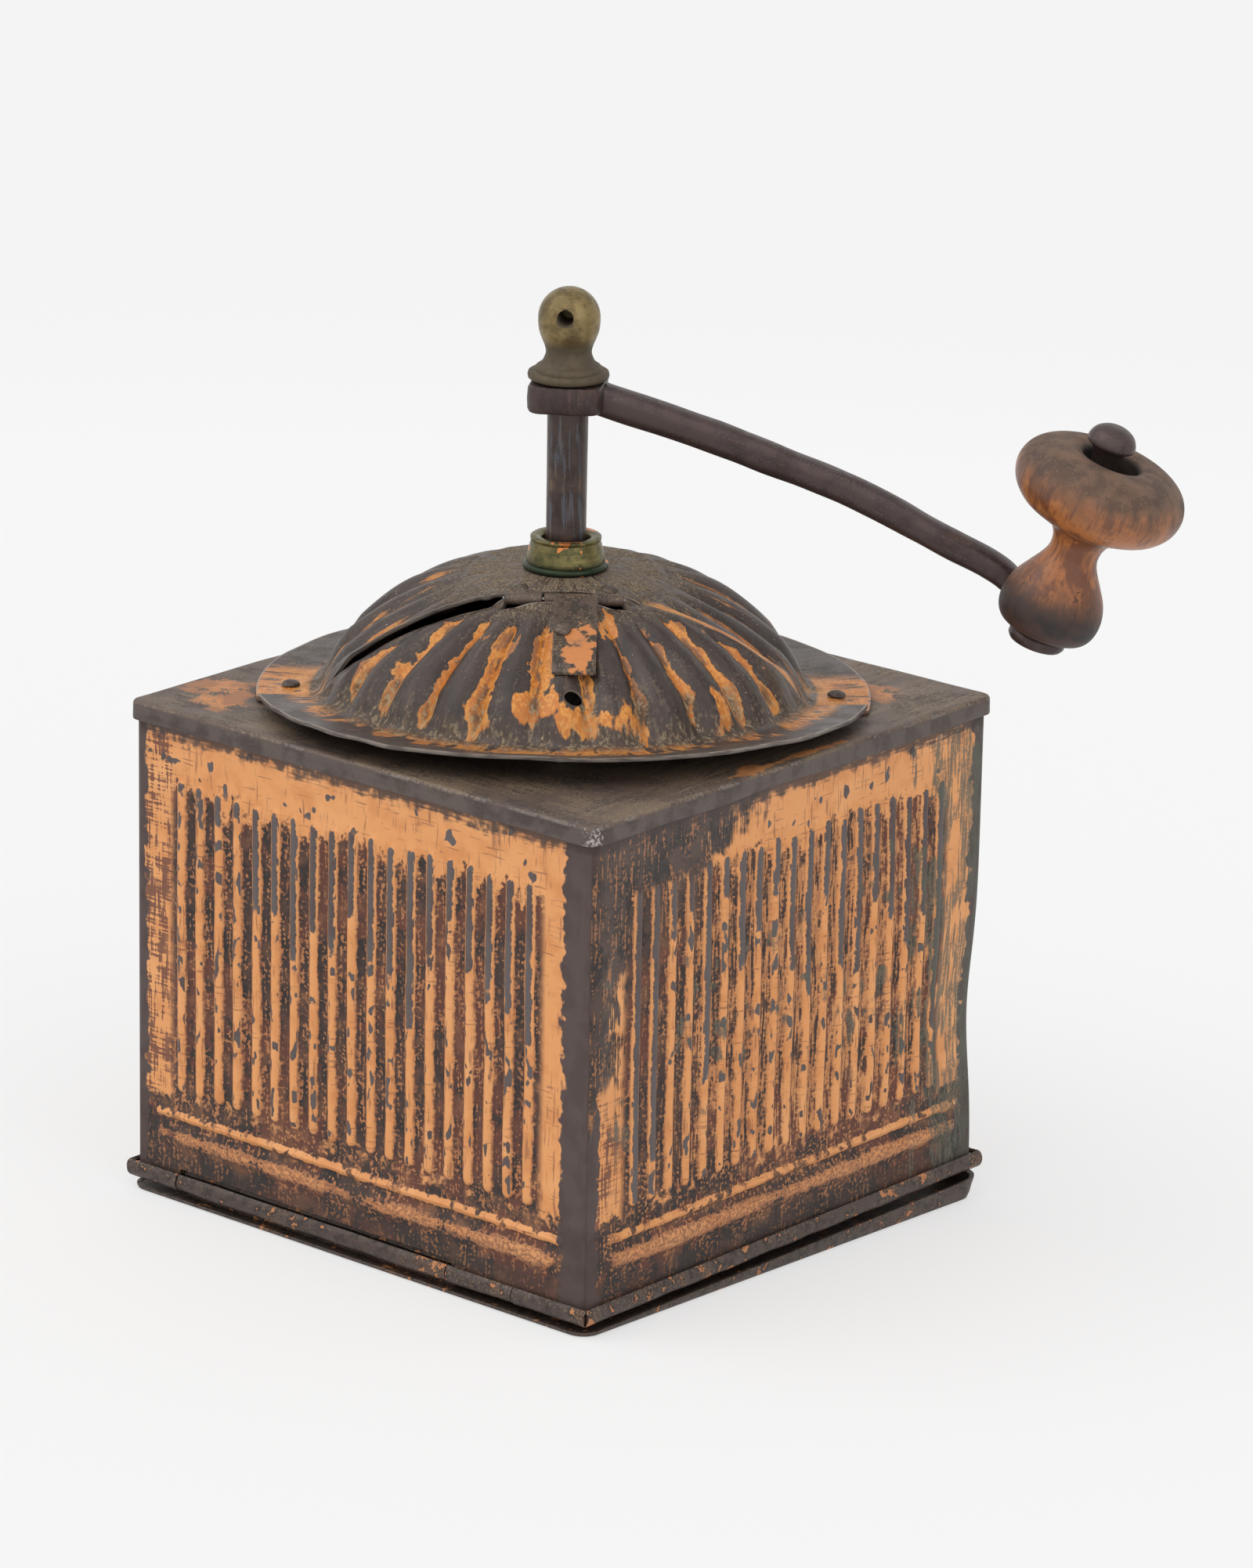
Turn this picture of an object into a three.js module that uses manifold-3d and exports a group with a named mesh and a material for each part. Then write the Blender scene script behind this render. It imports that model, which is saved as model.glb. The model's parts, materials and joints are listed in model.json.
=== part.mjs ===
// An old square tin coffee mill with a fluted dome, a crank with a wooden knob and a hinged bottom.
// Millimetres, +Z up. The origin is the centre of the flat bottom that the mill stands on.
// X and Y run along the box's sides. The lid opens toward the corner between +X and -Y.
// The bottom door is bent and stays ajar, so the box leans back a little about the door's hinge.

import * as THREE from 'three';
import { mergeVertices } from 'three/addons/utils/BufferGeometryUtils.js';
import Module from 'manifold-3d';

// Sizes that several pieces share

const sheet = 0.8;
const touchGap = 0.3;
const runGap = 0.4;
const overrun = 5;

// The box: four embossed walls, rolled over a wire at the bottom

const wallOut = 59.3;
const wallTop = 100.5;
const wallCorner = 1.8;
const ribCount = 19;
const ribPitch = 5.05;
const ribShift = -0.85;
const ribHalfWidth = 1.4;
const ribRise = 1.2;
const ribBottom = 23;
const ribTop = 87.7;
const beadReach = 53.5;
const narrowBeadZ = 18;
const narrowBeadHalfWidth = 1;
const narrowBeadRise = 0.8;
const wideBeadZ = 13.5;
const wideBeadHalfWidth = 2.6;
const wideBeadRise = 1.2;
const rollOut = 2.1;
const rollBore = 1.4;
const rollZ = 4.3;
const rollCorner = 2;
const wireRadius = 1.1;
const mitreGap = 0.35;

// The door: a shallow pan, hinged on the wire along the front wall

const knuckleLeft = -46.6;
const knuckleRight = 24.8;
const panHalf = 60.3;
const panCorner = 4.2;
const panRimClear = 1.2;
const tabFrom = 47;
const tabTo = 54;
const tabRise = 2.6;
const doorAjar = 1.95;

// The cover plate with its folded lip

const coverTop = 101.6;
const coverLip = 98;
const coverBevel = 0.5;
const openingInset = 10.3;

// The fluted dome: a fixed rear half and the hinged lid, both with a flat flange

const domeRadius = 67;
const crownRadius = 19.5;
const crownStep = 0.4;
const crownStepRun = 1;
const domeHole = 6;
const footRadius = 48.3;
const footRiseShare = 0.2;
const footDrawIn = 1.5;
const shoulderInset = 4.3;
const shoulderZ = 111.527;
const fluteCount = 26;
const fluteDepth = 1.8;
const flutePoints = 3;
const rearSwell = 2.6;
const rearSwellRun = 12;
const flangeWidth = 11.9;
const splitFront = 14;
const splitInset = 9.3;
const splitKnee = 12.2;
const splitFoot = 10.6;
const splitGap = 0.9;
const lidFoot = 10;
const lidRearLift = 0.95;
const lidFrontLift = 3.1;
const tabRivetInset = 6.7;
const bareHoleInset = 6.7;
const bareHoleRadius = 1.75;
const bareHoleShift = 2.4;
const lidTurn = 49.8;

// The lid's hinge

const hingeAt = 16.7;
const hingeStand = 0.215;
const hingePinRadius = 0.4;
const barrelBore = 0.7;
const barrelOut = 1.15;
const barrelHalf = 11.5;
const barrelJoint = -4;
const leafFrom = 6.6;
const leafTo = 14.9;
const strapHalf = 4.2;
const strapInset = 9.8;
const strapThick = 0.9;
const leafRivetAt = 11.6;
const leafRivetSpread = 8.6;
const strapShift = 2.4;
const strapRivetAt = 28;
const rivetHead = 1.75;
const rivetHeadRise = 0.9;
const rivetRimShare = 0.8;
const rivetRimRiseShare = 0.7;
const rivetShank = 0.9;
const rivetHole = 1.2;

// The brass collar and the steel spindle

const collarFoot = 8.3;
const collarTopRadius = 6.4;
const collarBore = 4.75;
const collarSpigot = 5.6;
const collarRise = 6.5;
const collarRim = 1.1;
const collarSpigotDrop = 3.4;
const spindleRadius = 4;
const spindleBottom = 46.4;
const spindleChamfer = 1.5;
const threadRadius = 3;
const threadTop = 173.5;

// The crank: boss, bent bar, flat eye and leaning knob pin

const bossBottom = 160;
const bossThick = 5.6;
const bossHalf = 7.3;
const bossCorner = 3;
const bossBevel = 0.7;
const armAzimuth = 32.5;
const armHalfHeight = 3;
const armHalfWidth = 3;
const eyeAzimuth = 24.5;
const eyeReach = 94.5;
const eyeZ = 123.1;
const eyeRadius = 5.65;
const eyeThick = 3;
// Along the bar: shares of the eye's reach from the spindle, and of its drop below the boss
const armShares = [
  [0.0635, -0.0623], [0.2836, 0.1003], [0.4466, 0.2412], [0.6095, 0.393],
  [0.7725, 0.5989], [0.8741, 0.7209], [0.9196, 0.8022], [0.9587, 0.9377],
];
const tongueHalf = 3.6;
const tongueRootHalf = 5.1;
const pinLean = 18.3;
const pinRadius = 2.6;
const pinReach = 41;
const pinHead = 4.65;
const pinHeadRise = 4;
const pinHeadEdge = 1.3;
const pinHeadTop = 3.5;
const pinHeadKnee = 3.2;
const pinNeckFlare = 3.4;
const pinNeckLength = 3;

// The brass ball nut

const nutProfile = [
  [7.9, 0], [7.9, 1.8], [6.5, 1.8], [6.4, 2.5], [4.45, 4.3], [4.7, 5.9], [5.4, 8], [5.95, 10.1],
];
const ballRadius = 6.05;
const ballRise = 12.05;
const tommyRadius = 1.6;
const tommyRise = 1;
const tommyPastMiddle = 1.8;
const tommyAzimuth = -57;

// The turned knob, loose on its pin

const knobOffset = 0.2;
const knobSlackLean = 1.6;
const knobBore = 4;
const knobSocket = 5.65;
const knobSocketDepth = 5;
const knobProfile = [
  [6.6, 0], [8.9, 1.4], [9.9, 4], [10, 6.4], [8.8, 9.6], [6.6, 12.6], [5.2, 15], [4.85, 17], [5.3, 19.4],
  [7, 21.6], [10.5, 23.2], [14.2, 25.4], [16.3, 28.2], [16.8, 30.5], [16.2, 33], [14.2, 35.2], [11.5, 37],
];

// The grinding works under the cover

const housingInset = 1.8;
const housingFlangeThick = 3;
const bowlWall = 2.4;
const bowlKneeInset = 4;
const bowlKneeZ = 92;
const throatRadius = 17.5;
const throatZ = 72;
const burrTopRadius = 15.6;
const burrBottomRadius = 14.9;
const burrTopZ = 69;
const housingBottom = 56;
const housingFoot = 24;
const housingFootThick = 4;
const toothCount = 20;
const outerTooth = 0.9;
const innerTooth = 0.6;
const innerBottomRadius = 13.6;
const innerTopRadius = 11.2;
const innerHubRadius = 7.5;
const innerBottom = 57;
const innerTop = 75;
const burrPinRadius = 1;
const burrPinZ = 72.5;
const screwInset = 6.5;
const screwShank = 1.9;
const screwHead = 3;
const screwHeadRise = 2.2;
const nutCorner = 3.3;
const nutThick = 3;
const screwTail = 1;
const bridgeHalf = 5;
const bridgeThick = 2;
const bridgeInset = 2.3;
const bridgeBossRadius = 7;
const bridgeBossRise = 3;
const lowerBridgeHalf = 6;
const lowerBarZ = 43;
const lowerBarThick = 4;
const lowerFootWide = 5.5;
const lowerBossRadius = 8;
const lowerBossBottom = 42;
const lowerBossTop = 52;
const bridgeScrewShank = 1.5;
const bridgeScrewHead = 2.4;
const bridgeScrewSunk = 3;
const adjusterRadius = 3;
const adjusterBottom = 30;
const adjusterWheelRadius = 8;
const adjusterWheelThick = 3;
const adjusterFlutes = 12;
const adjusterFluteDepth = 0.6;
const locknutCorner = 5.5;
const screwRimShare = 0.7;

// Facets round a turned piece and steps along an arc

const fine = 32;
const plain = 24;
const coarse = 12;
const arcSteps = 6;

// Sizes worked out from those above

const wallIn = wallOut - sheet;
const wallMid = wallOut - sheet / 2;
const coverUnder = coverTop - sheet;
const shoulderRadius = footRadius - shoulderInset;
const splitHalf = footRadius - splitInset;
const domeCentreZ = shoulderZ - Math.sqrt(domeRadius ** 2 - shoulderRadius ** 2);
const domeTop = domeCentreZ + domeRadius;
const flangeRadius = footRadius + flangeWidth;
const tabRivetPlace = flangeRadius - tabRivetInset;
const bareHoleAt = footRadius - bareHoleInset;
const hingeZ = domeZ(hingeAt) + hingeStand;
const strapTo = footRadius - strapInset;
const openingRadius = footRadius - openingInset;
const bowlKneeRadius = openingRadius - bowlKneeInset;
const housingFlange = footRadius - housingInset;
const screwCircle = footRadius - screwInset;
const bridgeReach = footRadius - bridgeInset;
const flangeUnder = coverTop + touchGap;
const flangeTop = flangeUnder + sheet;
const lidAzimuth = THREE.MathUtils.degToRad(-lidTurn);
const planReach = flangeRadius + overrun;
const domeLow = coverTop - overrun;
const domeHigh = domeTop + overrun;
const quarterTurns = [0, 1, 2, 3].map((k) => k * Math.PI / 2 + lidAzimuth);
const sideTurns = [quarterTurns[1], quarterTurns[3]];
const bridgeScrewCircle = housingFoot - lowerFootWide / 2;
const bridgeScrewTop = housingBottom + bridgeScrewSunk;
const bossTop = bossBottom + bossThick;
const spindleShoulder = bossTop;
const nutBottom = spindleShoulder + touchGap;
const ballZ = nutBottom + ballRise;
const coreRunRadius = spindleRadius + touchGap;
const adjusterTop = spindleBottom - touchGap;
const locknutTop = lowerBossBottom - touchGap;

// Finishes

const lacquer = { color: 0xb98655, roughness: 0.55, metalness: 0.3 };
const wornTin = { color: 0x5c5048, roughness: 0.6, metalness: 0.5 };
const darkIron = { color: 0x4a3f3d, roughness: 0.5, metalness: 0.7 };
const castIron = { color: 0x3f3d3b, roughness: 0.75, metalness: 0.6 };
const steel = { color: 0x8b8682, roughness: 0.4, metalness: 0.9 };
const brass = { color: 0x8d7a4a, roughness: 0.35, metalness: 0.9 };
const greenBrass = { color: 0x5d6238, roughness: 0.4, metalness: 0.8 };
const wood = { color: 0x8a5a35, roughness: 0.5, metalness: 0 };

// Closed solids, and joining and cutting them

const wasm = await Module();
wasm.setup();

function signedVolume(spots, faces) {
  const a = new THREE.Vector3();
  const b = new THREE.Vector3();
  const c = new THREE.Vector3();
  let sum = 0;
  for (let k = 0; k < faces.length; k += 3) {
    a.fromArray(spots, 3 * faces[k]);
    b.fromArray(spots, 3 * faces[k + 1]);
    c.fromArray(spots, 3 * faces[k + 2]);
    sum += a.dot(b.cross(c));
  }
  return sum;
}

// The solid of a closed geometry, with its faces turned outward
function toSolid(geometry) {
  const bare = geometry.clone();
  bare.deleteAttribute('normal');
  bare.deleteAttribute('uv');
  const merged = mergeVertices(bare);
  const index = merged.index.array;
  const spots = new Float32Array(merged.attributes.position.array);
  const faces = [];
  for (let k = 0; k < index.length; k += 3) {
    const corners = [index[k], index[k + 1], index[k + 2]];
    if (new Set(corners).size === 3) faces.push(...corners);
  }
  if (signedVolume(spots, faces) < 0) faces.reverse();
  const mesh = new wasm.Mesh({ numProp: 3, vertProperties: spots, triVerts: new Uint32Array(faces) });
  return new wasm.Manifold(mesh);
}

function fuse(solid, ...geometries) {
  return geometries.map(toSolid).reduce((whole, next) => whole.add(next), solid);
}

function join(first, ...others) {
  return fuse(toSolid(first), ...others);
}

function cut(solid, ...tools) {
  return tools.map(toSolid).reduce((rest, tool) => rest.subtract(tool), solid);
}

function toGeometry(solid) {
  const mesh = solid.getMesh();
  const geometry = new THREE.BufferGeometry();
  geometry.setAttribute('position', new THREE.BufferAttribute(mesh.vertProperties, 3));
  geometry.setIndex(new THREE.BufferAttribute(mesh.triVerts, 1));
  geometry.computeVertexNormals();
  return geometry;
}

const mill = new THREE.Group();

// What stands on the door: everything else, leaning with the box about the door's hinge
const leaning = new THREE.Group();
const upright = new THREE.Group();
leaning.position.set(0, -wallMid, rollZ);
leaning.rotation.x = THREE.MathUtils.degToRad(doorAjar);
upright.position.set(0, wallMid, -rollZ);
leaning.add(upright);
mill.add(leaning);

function addPiece(name, solid, finish, parent = upright) {
  const mesh = new THREE.Mesh(toGeometry(solid), new THREE.MeshStandardMaterial(finish));
  mesh.name = name;
  parent.add(mesh);
  return mesh;
}

// Shapes that the pieces are made of

// Turned about Z from [radius, z] points, which start and end on the axis or close on themselves
function turned(points, segments = plain) {
  const profile = points.map(([r, z]) => new THREE.Vector2(r, z));
  return new THREE.LatheGeometry(profile, segments).rotateX(Math.PI / 2);
}

// A turned ring, whose points close on themselves
function turnedRing(points, segments = plain) {
  return turned([...points, points[0]], segments);
}

function rod(radius, from, to, segments = plain) {
  return turned([[0, from], [radius, from], [radius, to], [0, to]], segments);
}

function outline(points) {
  return new THREE.Shape(points.map(([x, y]) => new THREE.Vector2(x, y)));
}

// A plan, as a shape or as [x, y] points, standing from one height to another
function standing(plan, from, to) {
  const shape = plan instanceof THREE.Shape ? plan : outline(plan);
  const settings = { depth: to - from, bevelEnabled: false, curveSegments: arcSteps };
  return new THREE.ExtrudeGeometry(shape, settings).translate(0, 0, from);
}

// A side view of [x, z] points, running along Y
function alongY(points, from, to) {
  const settings = { depth: to - from, bevelEnabled: false };
  return new THREE.ExtrudeGeometry(outline(points), settings).rotateX(Math.PI / 2).translate(0, to, 0);
}

// A side view of [y, z] points, running along X
function alongX(points, from, to) {
  const settings = { depth: to - from, bevelEnabled: false };
  const turn = new THREE.Matrix4().makeBasis(
    new THREE.Vector3(0, 1, 0), new THREE.Vector3(0, 0, 1), new THREE.Vector3(1, 0, 0));
  return new THREE.ExtrudeGeometry(outline(points), settings).applyMatrix4(turn).translate(from, 0, 0);
}

function block(x, y, z) {
  const [fromX, toX] = x;
  const [fromY, toY] = y;
  return standing([[fromX, fromY], [toX, fromY], [toX, toY], [fromX, toY]], ...z);
}

function roundedSquare(half, corner) {
  const shape = new THREE.Shape();
  const inner = half - corner;
  shape.moveTo(-inner, -half);
  shape.lineTo(inner, -half);
  shape.absarc(inner, -inner, corner, -Math.PI / 2, 0);
  shape.lineTo(half, inner);
  shape.absarc(inner, inner, corner, 0, Math.PI / 2);
  shape.lineTo(-inner, half);
  shape.absarc(-inner, inner, corner, Math.PI / 2, Math.PI);
  shape.lineTo(-half, -inner);
  shape.absarc(-inner, -inner, corner, Math.PI, 3 * Math.PI / 2);
  return shape;
}

function circlePoints(radius, count) {
  const angles = Array.from({ length: count }, (_, k) => 2 * Math.PI * k / count);
  return angles.map((a) => [radius * Math.cos(a), radius * Math.sin(a)]);
}

// A ring woven from closed loops: place(row, column) gives each point
function wovenRing(rows, columns, place) {
  const spots = [];
  const faces = [];
  for (let i = 0; i < rows; i += 1) {
    for (let j = 0; j < columns; j += 1) {
      const nextRow = (i + 1) % rows * columns;
      const nextColumn = (j + 1) % columns;
      spots.push(...place(i, j));
      faces.push(i * columns + j, i * columns + nextColumn, nextRow + nextColumn);
      faces.push(i * columns + j, nextRow + nextColumn, nextRow + j);
    }
  }
  const geometry = new THREE.BufferGeometry();
  geometry.setAttribute('position', new THREE.Float32BufferAttribute(spots, 3));
  geometry.setIndex(faces);
  return geometry;
}

// The embossed walls. Each is modelled as the front wall, whose outside faces -Y, and then turned.

// An embossed rib or bead: a flattened capsule along Z, half sunk in the sheet
function embossed(halfWidth, rise, length) {
  return new THREE.CapsuleGeometry(halfWidth, length - 2 * halfWidth, 2, 6)
    .rotateX(Math.PI / 2)
    .scale(1, rise / halfWidth, 1);
}

function wallRibs() {
  const length = ribTop - ribBottom;
  return Array.from({ length: ribCount }, (_, k) => {
    const x = ribShift + (k - (ribCount - 1) / 2) * ribPitch;
    return embossed(ribHalfWidth, ribRise, length).translate(x, -wallOut, ribBottom + length / 2);
  });
}

function wallBeads() {
  const across = (halfWidth, rise, z) => embossed(halfWidth, rise, 2 * beadReach)
    .rotateY(Math.PI / 2)
    .translate(0, -wallOut, z);
  return [
    across(narrowBeadHalfWidth, narrowBeadRise, narrowBeadZ),
    across(wideBeadHalfWidth, wideBeadRise, wideBeadZ),
  ];
}

// A rod along the wall's bottom edge
function edgeRod(radius, segments) {
  const reach = wallMid + overrun;
  return rod(radius, -reach, reach, segments).rotateY(Math.PI / 2).translate(0, -wallMid, rollZ);
}

// The plan of one side of the box between its two mitres
function mitrePrism() {
  const far = wallOut + overrun;
  const near = wallIn / 2;
  const points = [[-far, -far], [far, -far], [near, -near], [-near, -near]];
  return standing(points, -overrun, coverTop).translate(0, -mitreGap, 0);
}

function wallSolid() {
  const far = wallOut + overrun;
  const corners = standing(roundedSquare(wallOut, wallCorner), 0, coverTop);
  const plate = toSolid(block([-wallOut, wallOut], [-wallOut, -wallIn], [rollZ, wallTop]));
  const raised = fuse(plate.intersect(toSolid(corners)), ...wallRibs(), ...wallBeads());
  const behind = block([-far, far], [-wallIn, -wallIn + overrun], [0, coverTop]);
  const rolled = fuse(cut(raised, behind), edgeRod(rollOut, coarse));
  const ends = standing(roundedSquare(wallMid + rollOut, rollCorner), -overrun, coverTop);
  return cut(rolled, edgeRod(rollBore, coarse)).intersect(toSolid(mitrePrism())).intersect(toSolid(ends));
}

function addWalls() {
  const doorGap = block(
    [knuckleLeft - runGap, knuckleRight + runGap],
    [-wallOut - overrun, -wallIn + overrun],
    [-overrun, rollZ + rollOut + runGap]);
  ['wall_front', 'wall_right', 'wall_back', 'wall_left'].forEach((name, side) => {
    const solid = side === 0 ? cut(wallSolid(), doorGap) : wallSolid();
    addPiece(name, solid, lacquer).rotation.z = side * Math.PI / 2;
  });
}

// The wire inside the rolled edge: a square ring of round wire with mitred corners
function addRimWire() {
  const section = circlePoints(wireRadius, coarse);
  const ring = wovenRing(4, coarse, (corner, column) => {
    const angle = (corner / 2 + 1 / 4) * Math.PI;
    const [out, up] = section[column];
    const half = wallMid + out;
    return [Math.sign(Math.cos(angle)) * half, Math.sign(Math.sin(angle)) * half, rollZ + up];
  });
  addPiece('rim_wire', toSolid(ring), steel);
}

// The door pan: a floor, a rim that rises toward the back, and the knuckle on the wire

function addDoor() {
  const far = panHalf + overrun;
  const slope = Math.tan(THREE.MathUtils.degToRad(doorAjar));
  const rollLevel = (y) => rollZ + slope * (y + wallMid);
  const rimTop = (y) => rollLevel(y) - rollOut - panRimClear;
  const high = rollLevel(far) + overrun;
  const outer = standing(roundedSquare(panHalf, panCorner), 0, high);
  const inner = standing(roundedSquare(panHalf - sheet, panCorner - sheet), sheet, high);
  const above = alongX([[-far, rimTop(-far)], [far, rimTop(far)], [far, high], [-far, high]], -far, far);
  const tray = cut(toSolid(outer), inner, above);
  const tabInside = wallMid + rollOut + runGap;
  const tab = join(
    block([tabFrom, tabTo], [panHalf - sheet, tabInside + sheet], [0, sheet]),
    block([tabFrom, tabTo], [tabInside, tabInside + sheet], [0, rollLevel(wallMid) + rollOut + tabRise]));
  const edge = (radius, past) => rod(radius, knuckleLeft - past, knuckleRight + past, coarse)
    .rotateY(Math.PI / 2)
    .translate(0, -wallMid, rollZ);
  const webInside = -wallMid + rollBore;
  const web = block([knuckleLeft, knuckleRight], [webInside, webInside + sheet], [sheet / 2, rollZ]);
  const pan = tray.add(tab).add(join(edge(rollOut, 0), web));
  addPiece('door_pan', cut(pan, edge(rollBore, overrun)), wornTin, mill);
}

// The cover plate

function ringOfHoles(radius, circle, from, to, turns) {
  return turns.map((turn) => rod(radius, from, to, coarse).translate(circle, 0, 0).rotateZ(turn));
}

function addCover() {
  const half = wallOut + touchGap + sheet - coverBevel;
  const corner = wallCorner + touchGap + sheet - coverBevel;
  const settings = {
    depth: coverTop - coverLip - 2 * coverBevel,
    bevelSize: coverBevel,
    bevelThickness: coverBevel,
    bevelSegments: 1,
    curveSegments: arcSteps / 2,
  };
  const outer = new THREE.ExtrudeGeometry(roundedSquare(half, corner), settings)
    .translate(0, 0, coverLip + coverBevel);
  const pocket = standing(
    roundedSquare(wallOut + touchGap, wallCorner + touchGap), coverLip - overrun, coverUnder);
  const opening = rod(openingRadius, coverLip, coverTop + overrun, fine);
  const holes = [
    ...ringOfHoles(screwShank + touchGap, screwCircle, coverLip, coverTop + overrun, quarterTurns),
    ...ringOfHoles(rivetHole, tabRivetPlace, coverLip, coverTop + overrun, sideTurns),
  ];
  addPiece('cover_plate', cut(toSolid(outer), pocket, opening, ...holes), wornTin);
}

// The dome. Its pieces are modelled with the lid opening toward +X, and then turned by lidAzimuth.

function domeZ(radius) {
  return domeCentreZ + Math.sqrt(domeRadius ** 2 - radius ** 2);
}

// How far the sprung lid stands above its closed place at a point of the plan
function lidLift(x, radius) {
  const along = (x - lidFoot) / (flangeRadius - lidFoot);
  return (radius / footRadius) ** 2 * (lidRearLift + (lidFrontLift - lidRearLift) * along);
}

// How far the fixed rear half swells above the ball that the dome follows
function swell(x, radius) {
  const behind = THREE.MathUtils.clamp(-x / rearSwellRun, 0, 1);
  const along = (radius - crownRadius / 2) / (footRadius - crownRadius / 2);
  return rearSwell * behind * Math.sin(Math.PI * THREE.MathUtils.clamp(along, 0, 1));
}

// The outside of the dome from its hole to its flange's edge: [radius, z, share of the flutes' depth]
function domeRows() {
  const mid = (crownRadius + shoulderRadius) / 2;
  const kneeZ = flangeTop + (domeZ(shoulderRadius) - flangeTop) / 2;
  return [
    [domeHole, domeZ(domeHole), 0],
    [(domeHole + crownRadius) / 2, domeZ((domeHole + crownRadius) / 2), 0],
    [crownRadius, domeZ(crownRadius), 0],
    [crownRadius + crownStepRun, domeZ(crownRadius + crownStepRun) - crownStep, 0],
    [(crownRadius + mid) / 2, domeZ((crownRadius + mid) / 2), 1],
    [mid, domeZ(mid), 1],
    [shoulderRadius, domeZ(shoulderRadius), 1],
    [footRadius - footDrawIn, kneeZ, 1],
    [footRadius, flangeTop + footRiseShare * (kneeZ - flangeTop), footRiseShare],
    [footRadius, flangeTop, 0],
    [flangeRadius, flangeTop, 0],
  ];
}

// The whole dome as one sheet, lifted where asked
function domeShell(lifted) {
  const outside = domeRows();
  const last = outside.length - 1;
  const columns = flutePoints * fluteCount;
  const place = (row, column) => {
    const inside = row > last;
    const [radius, z, share] = outside[inside ? 2 * last + 1 - row : row];
    const across = Math.abs(Math.sin(Math.PI * column / flutePoints));
    const angle = 2 * Math.PI * column / columns + Math.PI / fluteCount;
    const onFlange = z === flangeTop;
    const normal = [radius / domeRadius, (z - domeCentreZ) / domeRadius];
    const [out, up] = onFlange ? [radius < flangeRadius ? 1 : 0, 1] : normal;
    const sink = (onFlange ? 0 : share * fluteDepth * (1 - across)) + (inside ? sheet : 0);
    const r = radius - out * sink;
    const level = z - up * sink;
    const x = r * Math.cos(angle);
    return [x, r * Math.sin(angle), level + (lifted ? lidLift(x, r) : swell(x, radius))];
  };
  return wovenRing(2 * (last + 1), columns, place);
}

function mirrored(points) {
  return [...points, ...points.map(([x, y]) => [x, -y]).reverse()];
}

// A cylinder across the sheet at a place of the plan, square to the dome
function acrossDome(radius, x, y, from, to) {
  const normal = new THREE.Vector3(x, y, domeZ(Math.hypot(x, y)) - domeCentreZ).normalize();
  const turn = new THREE.Quaternion().setFromUnitVectors(new THREE.Vector3(0, 0, 1), normal);
  return rod(radius, domeRadius + from, domeRadius + to, coarse)
    .applyQuaternion(turn)
    .translate(0, 0, domeCentreZ);
}

// A round-headed rivet square to the dome: its tail's, its body's and its head's places outside it
function domeRivet(x, y, tail, seat, lift) {
  const normal = new THREE.Vector3(x, y, domeZ(Math.hypot(x, y)) - domeCentreZ).normalize();
  const turn = new THREE.Quaternion().setFromUnitVectors(new THREE.Vector3(0, 0, 1), normal);
  return rivet(domeRadius + tail, domeRadius + seat)
    .applyQuaternion(turn)
    .translate(0, 0, domeCentreZ + lift);
}

// A rivet along Z: a tail below one height, a shank, and a round head above another
function rivet(tail, seat) {
  return turned([
    [0, tail - rivetHeadRise],
    [rivetHead * rivetRimShare, tail - rivetHeadRise],
    [rivetHead, tail],
    [rivetShank, tail],
    [rivetShank, seat],
    [rivetHead, seat],
    [rivetHead * rivetRimShare, seat + rivetHeadRise * rivetRimRiseShare],
    [0, seat + rivetHeadRise],
  ], coarse);
}

function addDomeRear() {
  const keep = mirrored([
    [-planReach, planReach],
    [lidFoot - splitGap, planReach],
    [lidFoot - splitGap, footRadius],
    [splitFoot, (footRadius + shoulderRadius) / 2],
    [splitKnee, shoulderRadius],
    [splitFront, splitHalf],
  ].reverse());
  const holes = [-1, 1].flatMap((side) => [
    rod(rivetHole, domeLow, domeHigh, coarse).translate(0, side * tabRivetPlace, 0),
    acrossDome(rivetHole, leafRivetAt, side * leafRivetSpread, -overrun, overrun),
  ]);
  const half = toSolid(domeShell(false)).intersect(toSolid(standing(keep, domeLow, domeHigh)));
  addPiece('dome_rear', cut(half, ...holes), wornTin).rotation.z = lidAzimuth;
  for (const [name, side] of [['tab_rivet_left', -1], ['tab_rivet_right', 1]]) {
    const fixed = rivet(coverUnder - touchGap, flangeTop + touchGap).translate(0, side * tabRivetPlace, 0);
    addPiece(name, toSolid(fixed), wornTin).rotation.z = lidAzimuth;
  }
}

function addLid() {
  const keep = mirrored([
    [planReach, planReach],
    [lidFoot, planReach],
    [lidFoot, footRadius - sheet],
    [splitKnee + splitGap, shoulderRadius + touchGap],
    [splitFront + splitGap, splitHalf + touchGap],
  ].reverse());
  const notch = barrelHalf + splitGap;
  const barrelRoom = block(
    [0, hingeAt + barrelOut + runGap], [-notch, notch], [domeLow, domeHigh]);
  const holes = [
    acrossDome(rivetHole, strapRivetAt, 0, -overrun, overrun),
    acrossDome(bareHoleRadius, bareHoleAt, bareHoleShift, -overrun, overrun),
  ];
  const half = toSolid(domeShell(true)).intersect(toSolid(standing(keep, domeLow, domeHigh)));
  addPiece('lid_shell', cut(half, barrelRoom, ...holes), wornTin).rotation.z = lidAzimuth;
}

// The hinge: a leaf under the crown, a strap over the lid, and a pin

function barrel(radius, from, to) {
  return rod(radius, from, to, coarse).rotateX(-Math.PI / 2).translate(hingeAt, 0, hingeZ);
}

// A band beside the dome's side view, from one x to another, between two distances from its surface
function band(from, to, below, above, lift) {
  const steps = Array.from({ length: arcSteps + 1 }, (_, k) => from + (to - from) * k / arcSteps);
  const edge = (away) => steps.map((x) => [x, domeZ(x) + away + (lift ? lidLift(x, x) : 0)]);
  return [...edge(below), ...edge(above).reverse()];
}

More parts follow.
